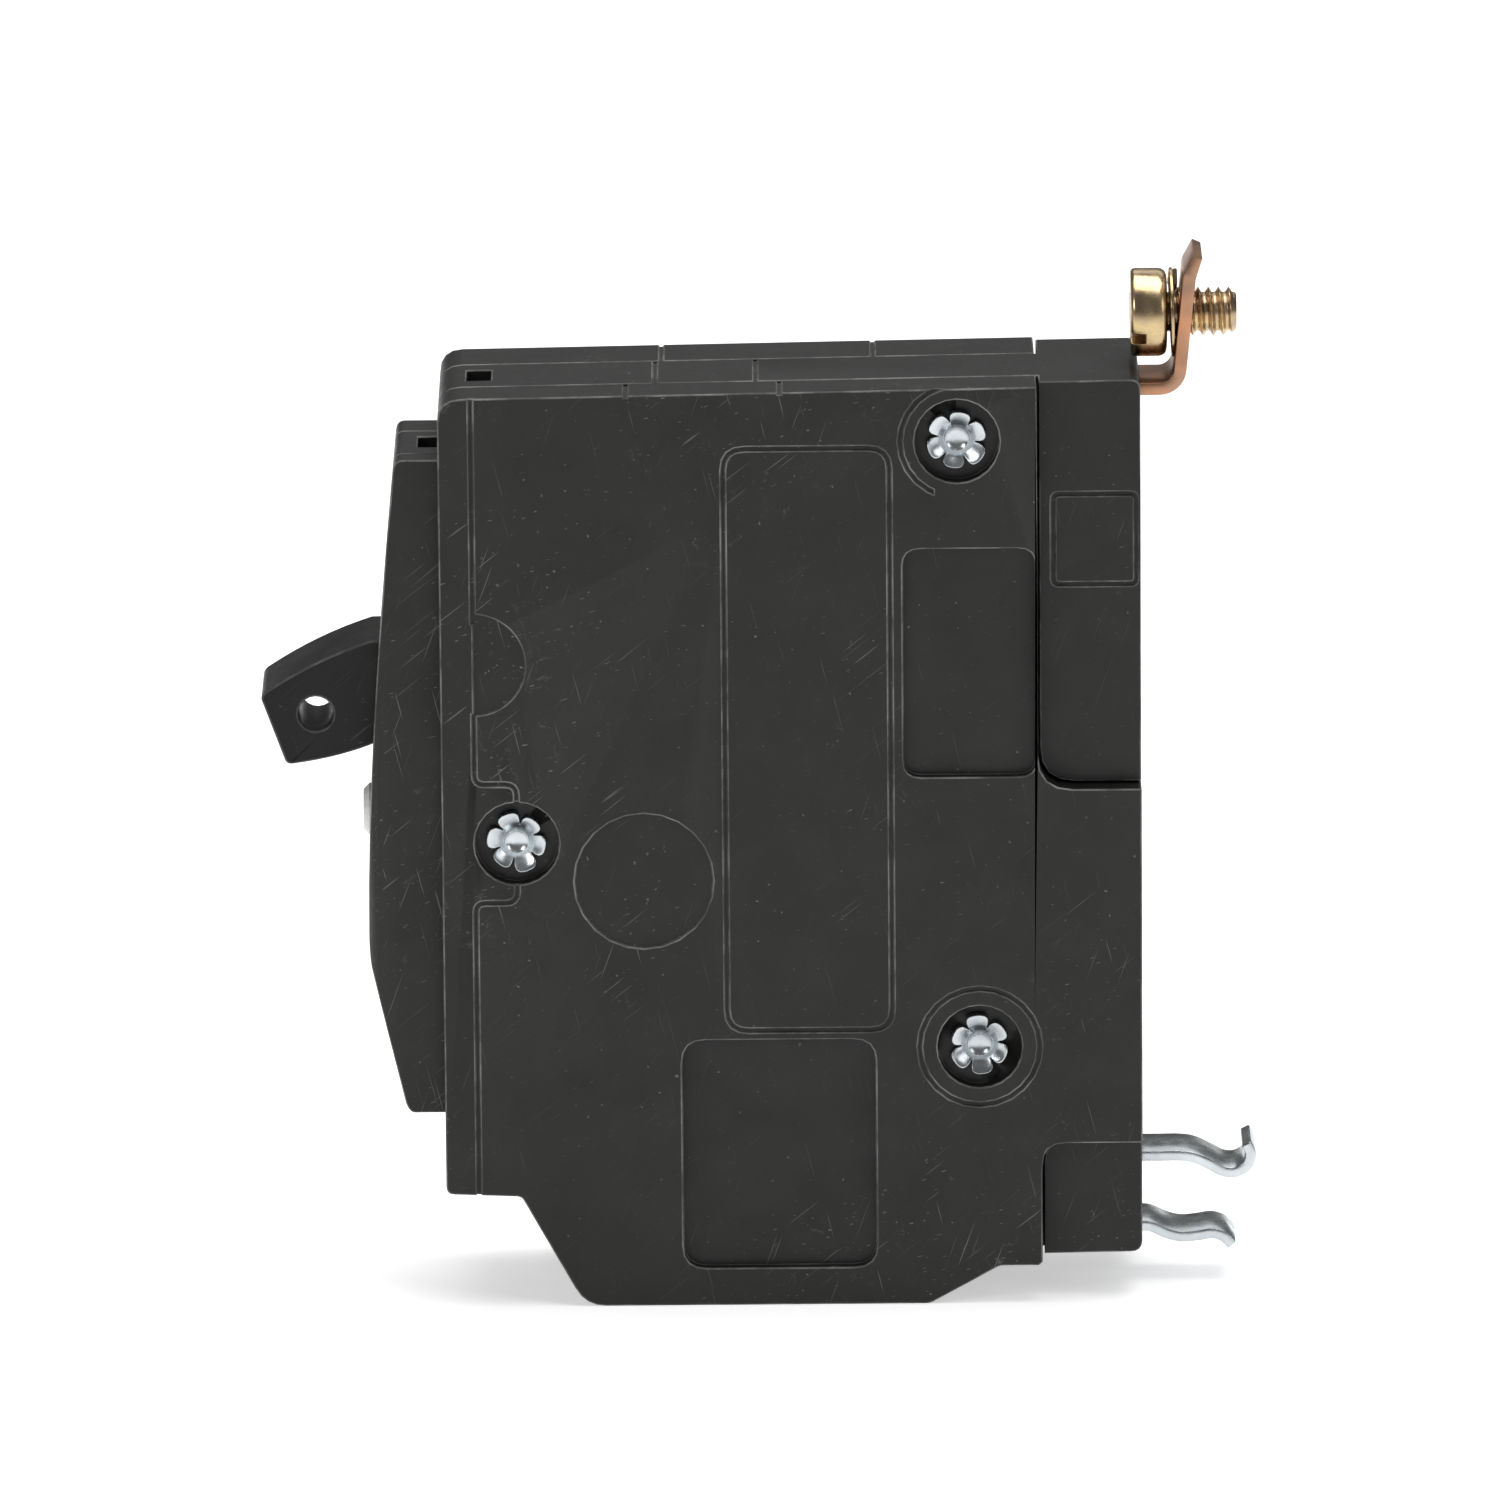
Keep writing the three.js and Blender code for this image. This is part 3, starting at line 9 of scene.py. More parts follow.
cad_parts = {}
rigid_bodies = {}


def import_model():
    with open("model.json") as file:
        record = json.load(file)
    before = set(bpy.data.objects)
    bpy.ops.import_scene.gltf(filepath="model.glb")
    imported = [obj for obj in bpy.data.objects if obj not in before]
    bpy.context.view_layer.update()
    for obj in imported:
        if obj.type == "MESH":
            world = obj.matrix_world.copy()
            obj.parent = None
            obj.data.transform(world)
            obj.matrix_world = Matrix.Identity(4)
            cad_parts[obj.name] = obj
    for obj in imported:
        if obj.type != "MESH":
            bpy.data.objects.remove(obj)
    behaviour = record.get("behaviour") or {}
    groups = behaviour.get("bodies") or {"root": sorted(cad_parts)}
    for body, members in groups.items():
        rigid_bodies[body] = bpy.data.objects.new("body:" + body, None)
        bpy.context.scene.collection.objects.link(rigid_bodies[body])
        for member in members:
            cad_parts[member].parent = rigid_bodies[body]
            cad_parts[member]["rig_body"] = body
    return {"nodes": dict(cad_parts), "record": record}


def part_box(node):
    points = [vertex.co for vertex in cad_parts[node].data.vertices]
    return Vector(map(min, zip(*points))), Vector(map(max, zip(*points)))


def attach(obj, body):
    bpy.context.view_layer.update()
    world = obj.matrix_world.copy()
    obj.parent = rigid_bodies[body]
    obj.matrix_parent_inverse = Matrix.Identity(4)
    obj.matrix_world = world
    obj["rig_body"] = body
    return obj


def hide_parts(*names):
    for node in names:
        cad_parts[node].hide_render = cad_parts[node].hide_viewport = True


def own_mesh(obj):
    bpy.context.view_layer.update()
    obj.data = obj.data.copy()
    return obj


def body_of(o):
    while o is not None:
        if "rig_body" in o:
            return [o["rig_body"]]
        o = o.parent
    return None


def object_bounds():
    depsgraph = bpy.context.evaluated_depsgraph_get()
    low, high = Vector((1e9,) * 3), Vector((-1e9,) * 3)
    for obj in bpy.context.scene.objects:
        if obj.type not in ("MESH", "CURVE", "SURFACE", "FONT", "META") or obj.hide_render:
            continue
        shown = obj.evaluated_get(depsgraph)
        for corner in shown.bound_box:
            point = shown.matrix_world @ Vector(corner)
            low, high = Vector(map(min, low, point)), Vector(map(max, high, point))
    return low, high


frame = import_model()
CAD_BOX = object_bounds()
MM = 0.001
NODES = frame["nodes"]
SLOTS = {part["node"]: part["material_slot"] for part in frame["record"]["subparts"]}
# The case's back face and line end, in millimetres: the clip and the tang are placed from them.
BACK_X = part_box("centre_frame")[1].x / MM
LINE_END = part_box("centre_frame")[1].z / MM


# ---------------------------------------------------------------- camera, floor and light

def make_camera():
    """Long lens, a little above level and square to the near side, with a slight roll."""
    elevation = math.radians(14.3)
    roll = math.radians(0.46)
    distance = 1.5
    near_y = CAD_BOX[0].y
    aim = Vector((-0.8 * MM, near_y, 48.93 * MM))
    forward = Vector((0, math.cos(elevation), -math.sin(elevation)))
    side = Vector((1, 0, 0))
    up = side.cross(forward)
    right = math.cos(roll) * side - math.sin(roll) * up
    up = math.sin(roll) * side + math.cos(roll) * up
    data = bpy.data.cameras.new("camera")
    data.lens = 424.8
    data.sensor_width = 36
    data.clip_start = 0.1
    data.clip_end = 200
    camera = bpy.data.objects.new("camera", data)
    turn = Matrix((right, up, -forward)).transposed().to_4x4()
    camera.matrix_world = Matrix.Translation(aim - forward * distance) @ turn
    bpy.context.collection.objects.link(camera)
    bpy.context.scene.camera = camera


def make_floor():
    """A plain white floor, large enough to fill the view from anywhere but almost level."""
    mesh = bpy.data.meshes.new("floor")
    half = 40.0
    corners = [(-half, -half, 0), (half, -half, 0), (half, half, 0), (-half, half, 0)]
    mesh.from_pydata(corners, [], [(0, 1, 2, 3)])
    floor = bpy.data.objects.new("floor", mesh)
    bpy.context.collection.objects.link(floor)
    material = bpy.data.materials.new("floor_white")
    material.use_nodes = True
    shader = material.node_tree.nodes["Principled BSDF"]
    shader.inputs["Base Color"].default_value = (0.93, 0.93, 0.93, 1)
    shader.inputs["Roughness"].default_value = 0.9
    shader.inputs["Emission Color"].default_value = (1, 1, 1, 1)
    shader.inputs["Emission Strength"].default_value = 0.5
    mesh.materials.append(material)


def area_light(name, place, aim, size, watts):
    """A rectangular light at a place, facing its aim."""
    data = bpy.data.lights.new(name, "AREA")
    data.shape = "RECTANGLE"
    data.size, data.size_y = size
    data.energy = watts
    light = bpy.data.objects.new(name, data)
    light.location = place
    light.rotation_mode = "QUATERNION"
    light.rotation_quaternion = (Vector(place) - Vector(aim)).to_track_quat("Z", "Y")
    bpy.context.collection.objects.link(light)


def make_light():
    """A dim grey room over a floor lit white from above, so that metal keeps its darks."""
    world = bpy.data.worlds.new("studio")
    bpy.context.scene.world = world
    world.use_nodes = True
    background = world.node_tree.nodes["Background"]
    background.inputs["Color"].default_value = (1, 1, 1, 1)
    background.inputs["Strength"].default_value = 0.16
    middle = (0, 0, 0.045)
    area_light("overhead", (0.05, 0.1, 1.2), middle, (1.2, 0.9), 13)
    area_light("front_left", (-1.0, -1.0, 0.8), middle, (0.5, 0.5), 4)
    area_light("front_right", (1.1, -0.7, 0.6), middle, (0.4, 0.6), 2)
    area_light("rear", (0.2, 1.2, 1.0), middle, (1.2, 0.5), 2)
    bpy.context.scene.view_settings.view_transform = "Standard"


# ---------------------------------------------------------------- materials

class Shader:
    """A material under construction: short calls that add and join nodes."""

    def __init__(self, name, color, roughness, metallic=0.0):
        self.material = bpy.data.materials.new(name)
        self.material.use_nodes = True
        self.tree = self.material.node_tree
        self.principled = self.tree.nodes["Principled BSDF"]
        self.set("Base Color", (*color, 1))
        self.set("Roughness", roughness)
        self.set("Metallic", metallic)
        self.place = self.node("ShaderNodeTexCoord").outputs["Object"]

    def set(self, socket, value):
        self.principled.inputs[socket].default_value = value

    def node(self, kind, **settings):
        made = self.tree.nodes.new(kind)
        for key, value in settings.items():
            if key in made.inputs:
                made.inputs[key].default_value = value
            else:
                setattr(made, key, value)
        return made

    def link(self, output, socket):
        self.tree.links.new(output, socket)

    def stretched(self, size, turn=(0, 0, 0)):
        """Coordinates for features of that size along each axis, in millimetres, then turned."""
        mapping = self.node("ShaderNodeMapping", vector_type="TEXTURE")
        mapping.inputs["Scale"].default_value = [s * MM for s in size]
        mapping.inputs["Rotation"].default_value = turn
        self.link(self.place, mapping.inputs["Vector"])
        return mapping.outputs["Vector"]

    def noise(self, scale, detail=4.0, roughness=0.55, at=None, distortion=0.0):
        made = self.node("ShaderNodeTexNoise", Scale=scale, Detail=detail, Roughness=roughness,
                         Distortion=distortion)
        self.link(at or self.place, made.inputs["Vector"])
        return made.outputs["Fac"]

    def ramp(self, value, low, high, out=(0.0, 1.0)):
        made = self.node("ShaderNodeMapRange")
        made.inputs["From Min"].default_value = low
        made.inputs["From Max"].default_value = high
        made.inputs["To Min"].default_value = out[0]
        made.inputs["To Max"].default_value = out[1]
        self.link(value, made.inputs["Value"])
        return made.outputs["Result"]

    def math(self, operation, first, second):
        made = self.node("ShaderNodeMath", operation=operation)
        for socket, value in zip(made.inputs, (first, second)):
            if isinstance(value, (int, float)):
                socket.default_value = value
            else:
                self.link(value, socket)
        return made.outputs[0]

    def mix(self, factor, first, second):
        made = self.node("ShaderNodeMix", data_type="RGBA")
        self.link(factor, made.inputs["Factor"])
        for socket, value in ((made.inputs[6], first), (made.inputs[7], second)):
            if isinstance(value, tuple):
                socket.default_value = (*value, 1)
            else:
                self.link(value, socket)
        return made.outputs[2]

    def scratches(self, length, width, turn, level):
        """Long thin marks in one direction, 0 to 1."""
        at = self.stretched((width, width, length), turn)
        return self.ramp(self.noise(1.0, 0.0, 0.5, at), level, level + 0.06)

    def edges(self, radius):
        """1 on outer and inner edges, 0 on flat faces."""
        bevel = self.node("ShaderNodeBevel", samples=6)
        bevel.inputs["Radius"].default_value = radius
        geometry = self.node("ShaderNodeNewGeometry")
        dot = self.node("ShaderNodeVectorMath", operation="DOT_PRODUCT")
        self.link(bevel.outputs["Normal"], dot.inputs[0])
        self.link(geometry.outputs["Normal"], dot.inputs[1])
        return self.ramp(dot.outputs["Value"], 0.995, 0.82)

    def bump(self, height, distance, strength=1.0, radius=0.0):
        made = self.node("ShaderNodeBump", Strength=strength, Distance=distance)
        self.link(height, made.inputs["Height"])
        if radius:
            bevel = self.node("ShaderNodeBevel", samples=6)
            bevel.inputs["Radius"].default_value = radius
            self.link(bevel.outputs["Normal"], made.inputs["Normal"])
        self.link(made.outputs["Normal"], self.principled.inputs["Normal"])


def moulded(name, color, roughness, pale_wear_and_highlight, edge_wear_and_highlight=0.5, specular=0.3, rim=False):
    """Moulded plastic: faint mottling, fine diagonal scratches in patches, dust, and edges painted
    pale as wear and as a painted highlight. A rim is the rounding along the edges of a piece,
    painted pale all over as wear and painted highlight."""
    s = Shader(name, color, roughness)
    s.set("Specular IOR Level", specular)
    mottle = s.ramp(s.noise(160, 5), 0.3, 0.7)
    base = s.mix(mottle, tuple(c * 0.86 for c in color), tuple(c * 1.16 for c in color))
    lines = s.scratches(7, 0.14, (0, 0.35, 0), 0.79)
    for length, width, turn, level in (
            (5, 0.12, (0, 0.9, 0), 0.8),
            (11, 0.16, (0, -0.25, 0.1), 0.8),
            (2.2, 0.14, (0, 1.3, 0.2), 0.79)):
        lines = s.math("MAXIMUM", lines, s.scratches(length, width, turn, level))
    patches = s.ramp(s.noise(62, 2), 0.52, 0.62)
    lines = s.math("MULTIPLY", lines, s.math("ADD", s.math("MULTIPLY", patches, 0.85), 0.15))
    scuffs = s.ramp(s.noise(900, 4, 0.75, distortion=0.6), 0.6, 0.78)
    scuffs = s.math("MULTIPLY", scuffs, s.ramp(s.noise(70, 3, 0.6), 0.56, 0.7))
    specks = s.ramp(s.noise(2000, 1, 0.5), 0.735, 0.76)
    specks = s.math("MULTIPLY", specks, s.ramp(s.noise(95, 2), 0.4, 0.62, (0.15, 1.0)))
    # Edges painted pale: partly rubbed wear in patches, partly a painted highlight that never drops
    # below 0.24.
    worn_and_highlit_edges = s.ramp(s.noise(230, 5, 0.7), 0.42, 0.68, (0.24, 1.0))
    if not rim:
        worn_and_highlit_edges = s.math("MULTIPLY", s.edges(0.2 * MM), worn_and_highlit_edges)
    marks_and_highlight = s.math("MAXIMUM", s.math("MULTIPLY", lines, 0.32), s.math("MULTIPLY", specks, 0.4))
    marks_and_highlight = s.math("MAXIMUM", marks_and_highlight, s.math("MULTIPLY", scuffs, 0.3))
    # The pale edges mix in as worn edges with a painted highlight on them.
    marks_and_highlight = s.math("MAXIMUM", marks_and_highlight, s.math("MULTIPLY", worn_and_highlit_edges, edge_wear_and_highlight))
    s.link(s.mix(marks_and_highlight, base, pale_wear_and_highlight), s.principled.inputs["Base Color"])
    s.link(s.ramp(s.noise(260, 5), 0.3, 0.7, (roughness - 0.06, roughness + 0.08)),
           s.principled.inputs["Roughness"])
    grain = s.math("MULTIPLY", s.noise(1500, 3), 0.6)
    height = s.math("ADD", grain, s.math("MULTIPLY", lines, -0.5))
    s.bump(height, 0.012 * MM, 0.5, radius=0.12 * MM)
    return s.material


def metal(name, color, tint, roughness, blotch=180, drawn=(6, 0.12, 0.5)):
    """Plated or rolled metal: blotches of a second colour, drawn lines and soft edges."""
    s = Shader(name, color, roughness, metallic=1.0)
    blotches = s.ramp(s.noise(blotch, 5, 0.6), 0.38, 0.62)
    stains = s.ramp(s.noise(blotch * 6, 4, 0.6), 0.5, 0.75, (0.0, 0.6))
    second = s.math("MAXIMUM", blotches, stains)
    s.link(s.mix(second, color, tint), s.principled.inputs["Base Color"])
    lines = s.noise(1.0, 3, 0.6, s.stretched(drawn))
    s.link(s.ramp(s.noise(700, 5), 0.25, 0.75, (roughness - 0.08, roughness + 0.14)),
           s.principled.inputs["Roughness"])
    s.bump(lines, 0.008 * MM, 0.6, radius=0.1 * MM)
    return s.material


# Slot: colour, roughness, pale colour of wear and painted edge highlight, and their strength; a rim
# is the rounding along a piece's edges, painted pale.
MOULDINGS = {
    "case_moulding": ((0.013, 0.013, 0.012), 0.4, (0.3, 0.3, 0.29), 0.7),
    "case_moulding_rim": ((0.014, 0.014, 0.013), 0.4, (0.3, 0.3, 0.29), 0.75),
    "handle_moulding": ((0.007, 0.007, 0.007), 0.36, (0.22, 0.22, 0.21), 0.4, 0.22),
    "handle_moulding_rim": ((0.010, 0.010, 0.010), 0.36, (0.22, 0.22, 0.21), 0.4),
    "button_moulding": ((0.72, 0.72, 0.69), 0.3, (0.5, 0.48, 0.42), 0.3),
    "fibre_board": ((0.32, 0.08, 0.04), 0.75, (0.5, 0.2, 0.12), 0.3),
    "ferrite": ((0.05, 0.05, 0.055), 0.6, (0.2, 0.2, 0.2), 0.3),
    "winding_enamel": ((0.33, 0.09, 0.03), 0.28, (0.5, 0.2, 0.1), 0.2),
    "board_laminate": ((0.015, 0.1, 0.035), 0.35, (0.3, 0.35, 0.2), 0.3),
    "chip_resin": ((0.02, 0.02, 0.022), 0.5, (0.2, 0.2, 0.2), 0.3),
    "varistor_coating": ((0.02, 0.09, 0.3), 0.35, (0.1, 0.2, 0.4), 0.2),
    "capacitor_body": ((0.42, 0.24, 0.06), 0.35, (0.5, 0.4, 0.2), 0.2),
    "grey_plastic": ((0.33, 0.33, 0.32), 0.5, (0.5, 0.5, 0.5), 0.3),
}
# Slot: colour, second colour and roughness, then what differs from metal()'s own values.
METALS = {
    "copper": dict(color=(0.56, 0.27, 0.15), tint=(0.36, 0.22, 0.15), roughness=0.34),
    "silver_contact": dict(color=(0.82, 0.8, 0.76), tint=(0.6, 0.56, 0.5), roughness=0.3),
    "zinc_plate": dict(color=(0.60, 0.64, 0.66), tint=(0.46, 0.49, 0.51), roughness=0.22,
                       drawn=(0.12, 0.6, 3)),
    "yellow_zinc": dict(color=(0.60, 0.46, 0.24), tint=(0.42, 0.31, 0.22), roughness=0.24,
                        blotch=420),
    "bare_steel": dict(color=(0.5, 0.5, 0.5), tint=(0.34, 0.33, 0.32), roughness=0.35),
    "bimetal_strip": dict(color=(0.6, 0.55, 0.46), tint=(0.42, 0.38, 0.32), roughness=0.38),
    "tinned_alloy": dict(color=(0.7, 0.7, 0.71), tint=(0.52, 0.52, 0.53), roughness=0.32),
}
MADE = {}


def material_of(slot):
    """The slot's material, made at its first use."""
    if slot not in MADE:
        if slot in METALS:
            MADE[slot] = metal(slot, **METALS[slot])
        else:
            MADE[slot] = moulded(slot, *MOULDINGS[slot], rim=slot.endswith("_rim"))
    return MADE[slot]


def dress_nodes():
    """Every carried-over CAD node gets its slot's material."""
    for node, slot in SLOTS.items():
        mesh = NODES[node].data
        mesh.materials.clear()
        mesh.materials.append(material_of(slot))


# ---------------------------------------------------------------- pieces

def finished(mesh, node, crease):
    """Puts a mesh in the scene in place of a CAD node, smooth up to the crease angle in degrees."""
    mesh.shade_smooth()
    mesh.set_sharp_from_angle(angle=math.radians(crease))
    made = bpy.data.objects.new(node + "_fine", mesh)
    bpy.context.collection.objects.link(made)
    slot = SLOTS[node]
    mesh.materials.append(material_of(slot))
    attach(made, body_of(NODES[node])[0])
    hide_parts(node)
    return made


def rounded(node, width):
    """A copy of a CAD node with its outer edges rounded by that width, and a rim material on them
    painted pale as wear and painted highlight.
    """
    crease = 30
    form = bmesh.new()
    form.from_mesh(NODES[node].data)
    bmesh.ops.remove_doubles(form, verts=form.verts, dist=0.001 * MM)
    bmesh.ops.dissolve_limit(form, angle_limit=math.radians(0.5),
                             verts=form.verts, edges=form.edges)
    weight = form.edges.layers.float.new("bevel_weight_edge")
    for edge in form.edges:
        if edge.is_manifold and edge.is_convex and edge.calc_face_angle() > math.radians(crease):
            edge[weight] = 1
    mesh = bpy.data.meshes.new(node + "_fine")
    form.to_mesh(mesh)
    form.free()
    made = finished(mesh, node, crease=crease)
    bevel = made.modifiers.new("rounding", "BEVEL")
    bevel.width = width
    bevel.segments = 2
    bevel.limit_method = "WEIGHT"
    bevel.use_clamp_overlap = False
    bevel.harden_normals = True
    # The rounding gets the rim material: painted pale all over as wear and painted highlight.
    rim = SLOTS[node] + "_rim"
    if rim in MOULDINGS:
        mesh.materials.append(material_of(rim))
        bevel.material = 1


def tube_of(rows):
    """A closed mesh from rows of points, each row a ring, with the first and last one filled."""
    count = len(rows[0])
    points = [point for row in rows for point in row]
    faces = []
    for i in range(len(rows) - 1):
        this, following = i * count, (i + 1) * count
        for j in range(count):
            beside = (j + 1) % count
            faces.append((this + j, this + beside, following + beside, following + j))
    faces.append(tuple(reversed(range(count))))
    faces.append(tuple(range(len(points) - count, len(points))))
    mesh = bpy.data.meshes.new("sheet")
    mesh.from_pydata(points, [], faces)
    form = bmesh.new()
    form.from_mesh(mesh)
    bmesh.ops.recalc_face_normals(form, faces=form.faces)
    form.to_mesh(mesh)
    form.free()
    return mesh


def rivet(node, first_petal):
    """A tubular rivet whose near end is split into six petals, curled back onto the case."""
    low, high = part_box(node)
    centre = (low + high) / 2
    petals = 6
    around = 30 * petals
    seat = low.y + 1.0 * MM
    outer, throat, bore = 2.62, 1.52, 1.12
    lobe_width = 0.93  # share of a petal's sector that it fills
    crest = 0.74  # where along its curl a petal stands highest
    turns = [2 * math.pi * k / around for k in range(around)]

    def ring(radius, y):
        return [(centre.x + radius * MM * math.cos(angle), y,
                 centre.z + radius * MM * math.sin(angle)) for angle in turns]

    curl = []
    for step in range(13):
        along = step / 12
        if along < crest:
            swell = math.sin(min(1, along * 1.35) * math.pi / 2)
        else:
            swell = math.cos((along - crest) / (1 - crest) * math.pi / 2) ** 0.8
        row = []
        for angle in turns:
            place = ((angle - first_petal) * petals / (2 * math.pi)) % 1 * 2 - 1
            index = int((angle - first_petal) % (2 * math.pi) * petals / (2 * math.pi))
            uneven = 1 + 0.05 * math.sin(index * 2.4 + centre.x / MM)
            lobe = max(0.0, 1 - abs(place / lobe_width) ** 4) ** 0.5
            reach = throat + (outer * uneven - throat) * lobe
            radius = bore + (reach - bore) * math.sin(along * math.pi / 2) ** 0.9
            crease = 0.30 + 0.70 * lobe
            height = 0.12 + 0.83 * swell * crease
            row.append((centre.x + radius * MM * math.cos(angle), seat - height * MM,
                        centre.z + radius * MM * math.sin(angle)))
        curl.append(row)
    hollow = [ring(radius, seat - (0.12 - depth + 0.25) * MM) for depth, radius in (
        (0.05, 0.02), (0.02, 0.45), (-0.10, 0.8), (-0.28, 1.0))]
    tail = [ring(radius, y) for radius, y in (
        (1.45, seat - 0.02 * MM), (1.45, high.y - 0.75 * MM),
        (2.9, high.y - 0.75 * MM), (2.9, high.y - 0.45 * MM),
        (2.5, high.y - 0.15 * MM), (1.4, high.y), (0.02, high.y))]
    finished(tube_of(hollow + curl + tail), node, crease=50)


def bolt_screw():
    """Cheese-head screw with a driver slot and a real helical thread."""
    low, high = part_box("bolt_on_screw")
    axis_z = (low.z + high.z) / 2
    head_radius = (high.z - low.z) / 2
    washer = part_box("lock_washer")
    head_end = washer[0].x - 0.05 * MM
    start, end = low.x, high.x
    around = 72

    def ring(x, radius, twist=None):
        row = []
        for k in range(around):
            angle = 2 * math.pi * k / around
            r = radius if twist is None else twist(x, angle)
            row.append((x, r * math.cos(angle), axis_z + r * math.sin(angle)))
        return row

    head = [ring(start + dx * MM, r) for dx, r in (
        (0.0, 0.02 * MM), (0.0, head_radius * 0.5), (0.0, head_radius - 0.42 * MM),
        (0.05, head_radius - 0.2 * MM), (0.2, head_radius - 0.05 * MM), (0.42, head_radius))]
    length = head_end - start
    for back, cutback in ((0.75, 0.0), (0.45, 0.06), (0.2, 0.2), (0.06, 0.42), (0.0, 0.75)):
        head.append(ring(start + length - back * MM, head_radius - cutback * MM))
    pitch = 0.86 * MM
    major, minor = 2.1 * MM, 1.66 * MM

    def thread(x, angle):
        phase = ((x - start) / pitch - angle / (2 * math.pi)) % 1
        tooth = 1 - abs(phase * 2 - 1)
        r = minor + (major - minor) * min(1.0, max(0.0, tooth * 1.5 - 0.46))
        return min(r, 1.5 * MM + (end - x) * 0.9)

    neck = head_end + 0.15 * MM
    shank = [ring(head_end, 1.72 * MM), ring(neck, 1.66 * MM)]
    steps = int((end - neck) / pitch * 14)
    for i in range(1, steps + 1):
        shank.append(ring(neck + (end - neck) * i / steps, 0, thread))
    shank.append(ring(end, 1.3 * MM))
    shank.append(ring(end, 0.02 * MM))
    body = tube_of(head + shank)
    made = finished(body, "bolt_on_screw", crease=38)
    cut_by(made, driver_slot(start, axis_z))


def driver_slot(head_x, axis_z):
    """The block that the screw's slot is cut with, turned to where the screw came to rest."""
    turn = Matrix.Rotation(math.radians(26), 3, "X")
    half, depth, reach = 0.55, 1.3, 6
    corners = []
    for x in (head_x - 1 * MM, head_x + depth * MM):
        for y, z in ((-reach, -half), (reach, -half), (reach, half), (-reach, half)):
            point = turn @ Vector((0, y * MM, z * MM))
            corners.append((x, point.y, axis_z + point.z))
    mesh = bpy.data.meshes.new("slit")
    mesh.from_pydata(corners, [], [(0, 1, 2, 3), (7, 6, 5, 4), (0, 4, 5, 1),
                                   (1, 5, 6, 2), (2, 6, 7, 3), (3, 7, 4, 0)])
    return mesh


def cut_by(made, tool_mesh):
    """Cuts a closed mesh out of a piece, once, and keeps the result."""
    tool = bpy.data.objects.new("tool", tool_mesh)
    bpy.context.collection.objects.link(tool)
    form = bmesh.new()
    form.from_mesh(tool_mesh)
    bmesh.ops.recalc_face_normals(form, faces=form.faces)
    form.to_mesh(tool_mesh)
    form.free()
    cut = made.modifiers.new("cut", "BOOLEAN")
    cut.operation = "DIFFERENCE"
    cut.solver = "EXACT"
    cut.object = tool
    shown = made.evaluated_get(bpy.context.evaluated_depsgraph_get())
    mesh = bpy.data.meshes.new_from_object(shown)
    made.modifiers.clear()
    made.data = mesh
    bpy.data.objects.remove(tool)
    mesh.set_sharp_from_angle(angle=math.radians(38))


def lock_washer():
    """Thin split ring, its two ends sprung apart along the screw."""
    low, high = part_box("lock_washer")
    middle_x = (low.x + high.x) / 2
    axis_z = (low.z + high.z) / 2
    gap = math.radians(5)
    first = math.radians(68)
    steps = 64
    rows = []
    for i in range(steps + 1):
        part = i / steps
        angle = first + gap / 2 + (2 * math.pi - gap) * part
        shift = (part - 0.5) * 0.42 * MM
        row = []
        for r, x in ((2.35, -0.2), (2.45, -0.25), (3.65, -0.17), (3.78, -0.1),
                     (3.78, 0.1), (3.65, 0.2), (2.45, 0.22), (2.35, 0.17)):
            row.append((middle_x + shift + x * MM, r * MM * math.cos(angle),
                        axis_z + r * MM * math.sin(angle)))
        rows.append(row)
    finished(tube_of(rows), "lock_washer", crease=50)


def spring(node, axis, turns, wire):
    """A coil spring along an axis. The toggle spring is a stand-in: the real one stretches with the
    handle."""
    low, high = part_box(node)
    centre = (low + high) / 2
    wide = [n for n in range(3) if n != axis]
    radius = max(high[n] - low[n] for n in wide) / 2 - wire
    start, end = low[axis] + wire, high[axis] - wire
    steps = turns * 28
    wire_sides = 8
    rows = []
    for i in range(steps + 1):
        part = i / steps
        angle = 2 * math.pi * turns * part
        row = []
        for k in range(wire_sides):
            around = 2 * math.pi * k / wire_sides
            reach = radius + wire * math.cos(around)
            point = [0.0, 0.0, 0.0]
            point[axis] = start + (end - start) * part + wire * math.sin(around)
            point[wide[0]] = centre[wide[0]] + reach * math.cos(angle)
            point[wide[1]] = centre[wide[1]] + reach * math.sin(angle)
            row.append(tuple(point))
        rows.append(row)
    made = finished(tube_of(rows), node, crease=60)
    anchor = list(centre)
    anchor[axis] = high[axis]
    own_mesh(made)


def smooth_line(points, steps=8):
    """Points on a curve through the given ones."""
    line = []
    count = len(points)
    for i in range(count - 1):
        before = points[max(i - 1, 0)]
        after = points[min(i + 2, count - 1)]
        a, b = points[i], points[i + 1]
        for k in range(steps):
            t = k / steps
            line.append(tuple(
                0.5 * (2 * a[n] + (b[n] - before[n]) * t
                       + (2 * before[n] - 5 * a[n] + 4 * b[n] - after[n]) * t ** 2
                       + (3 * a[n] - before[n] - 3 * b[n] + after[n]) * t ** 3) for n in (0, 1)))
    line.append(points[-1])
    return line


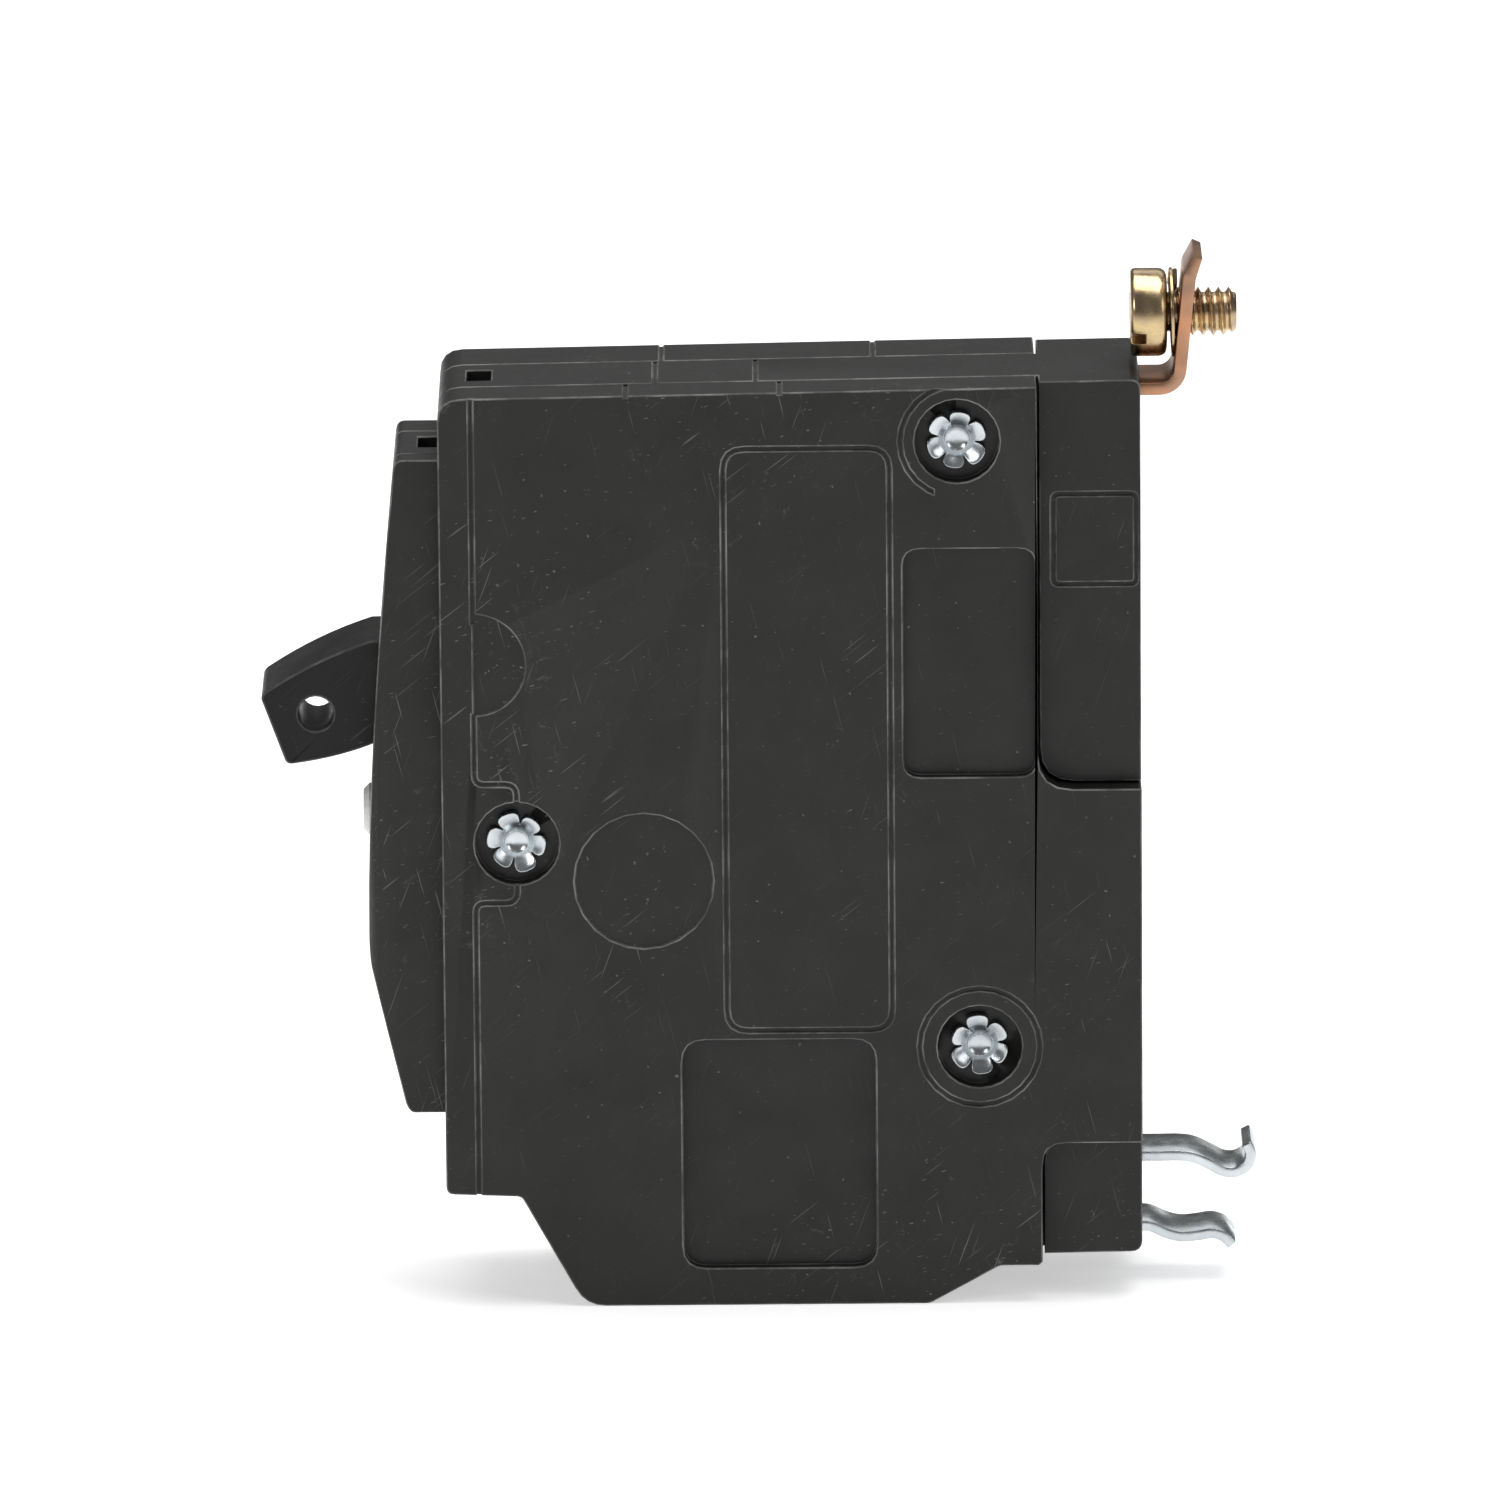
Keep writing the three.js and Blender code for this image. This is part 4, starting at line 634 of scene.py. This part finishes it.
def bent_strip(line, thickness, half, corner=0.1):
    """A strip of sheet metal along a line of (x, z) points in millimetres, its edges rounded."""
    rows = []
    for i, (x, z) in enumerate(line):
        x0, z0 = line[max(i - 1, 0)]
        x1, z1 = line[min(i + 1, len(line) - 1)]
        size = math.hypot(x1 - x0, z1 - z0)
        nx, nz = -(z1 - z0) / size, (x1 - x0) / size
        end = min(i, len(line) - 1 - i)
        slim = 1 if end else 0.72
        row = []
        t, w = thickness / 2 * slim, half - (0 if end else corner)
        for y, d in ((-w + corner, t), (-w + corner * 0.3, t - corner * 0.3), (-w, t - corner),
                     (-w, -t + corner), (-w + corner * 0.3, -t + corner * 0.3), (-w + corner, -t),
                     (w - corner, -t), (w - corner * 0.3, -t + corner * 0.3), (w, -t + corner),
                     (w, t - corner), (w - corner * 0.3, t - corner * 0.3), (w - corner, t)):
            row.append(((x + nx * d) * MM, y * MM, (z + nz * d) * MM))
        rows.append(row)
    return tube_of(rows)


def rail_clip():
    """Spring clip for the mounting rail: an upper and a lower prong joined by a web in the case."""
    low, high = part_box("rail_clip")
    half = (high.y - low.y) / 2 / MM
    upper = [(9.0, 12.05), (9.42, 11.1), (9.05, 10.1), (8.1, 9.55), (7.0, 9.65), (5.9, 10.25),
             (4.6, 10.85), (3.4, 11.05), (1.6, 11.05), (0.0, 11.05), (-1.6, 11.05)]
    web = [(-2.4, 10.75), (-2.6, 10.0), (-2.6, 7.9), (-2.6, 5.8), (-2.4, 5.1)]
    lower = [(-1.6, 4.85), (0.0, 4.85), (0.9, 4.75), (2.2, 4.15), (3.5, 3.85), (4.9, 3.95),
             (6.1, 4.12), (7.1, 3.8), (7.8, 3.05)]
    line = [(BACK_X + x, z) for x, z in smooth_line(upper + web + lower)]
    finished(bent_strip(line, 0.9, half), "rail_clip", crease=24)


def cornered_line(corners):
    """Points (x, z) along straight runs whose corners (x, z, radius) are turned as arcs."""
    line = [Vector(corners[0][:2])]
    for before, corner, after in zip(corners, corners[1:], corners[2:]):
        middle = Vector(corner[:2])
        into = (Vector(before[:2]) - middle).normalized()
        out = (Vector(after[:2]) - middle).normalized()
        half = into.angle(out) / 2
        reach = corner[2] / math.tan(half)
        centre = middle + (into + out).normalized() * corner[2] / math.sin(half)
        start, end = middle + into * reach - centre, middle + out * reach - centre
        sweep = start.angle_signed(end)
        for k in range(9):
            angle = -sweep * k / 8
            line.append(centre + Vector((start.x * math.cos(angle) - start.y * math.sin(angle),
                                         start.x * math.sin(angle) + start.y * math.cos(angle))))
    line.append(Vector(corners[-1][:2]))
    return [tuple(point) for point in line]


def line_tang():
    """Bolt-on tang, its outer leg leaning away from the case, down to the fixed contact inside."""
    low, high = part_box("line_tang")
    half = (high.y - low.y) / 2 / MM
    top = high.z / MM
    contact_z = low.z / MM + 0.55
    inner_x = low.x / MM
    level = LINE_END - 1.75
    line = cornered_line([
        (BACK_X + 5.0, top - 0.25, 0),
        (BACK_X + 4.27, top - 1.95, 1.2),
        (BACK_X + 3.3, level, 1.75),
        (BACK_X - 11.05, level, 0.9),
        (BACK_X - 11.05, contact_z, 0.9),
        (inner_x, contact_z, 0)])
    finished(bent_strip(line, 1.1, half, 0.14), "line_tang", crease=24)


make_camera()
make_floor()
make_light()
dress_nodes()
for node, width in (("mechanism_cover", 0.13), ("centre_frame", 0.12),
                    ("electronics_cover", 0.13), ("operating_handle", 0.18),
                    ("wire_lug", 0.15), ("load_terminal", 0.12)):
    rounded(node, width * MM)
for node, turn in (("case_rivet_1", 0.35), ("case_rivet_2", 0.9), ("case_rivet_3", 0.1)):
    rivet(node, turn)
bolt_screw()
lock_washer()
rail_clip()
line_tang()
spring("test_button_spring", 0, 4, 0.2 * MM)
spring("solenoid_spring", 0, 5, 0.15 * MM)
spring("toggle_spring", 2, 9, 0.25 * MM)
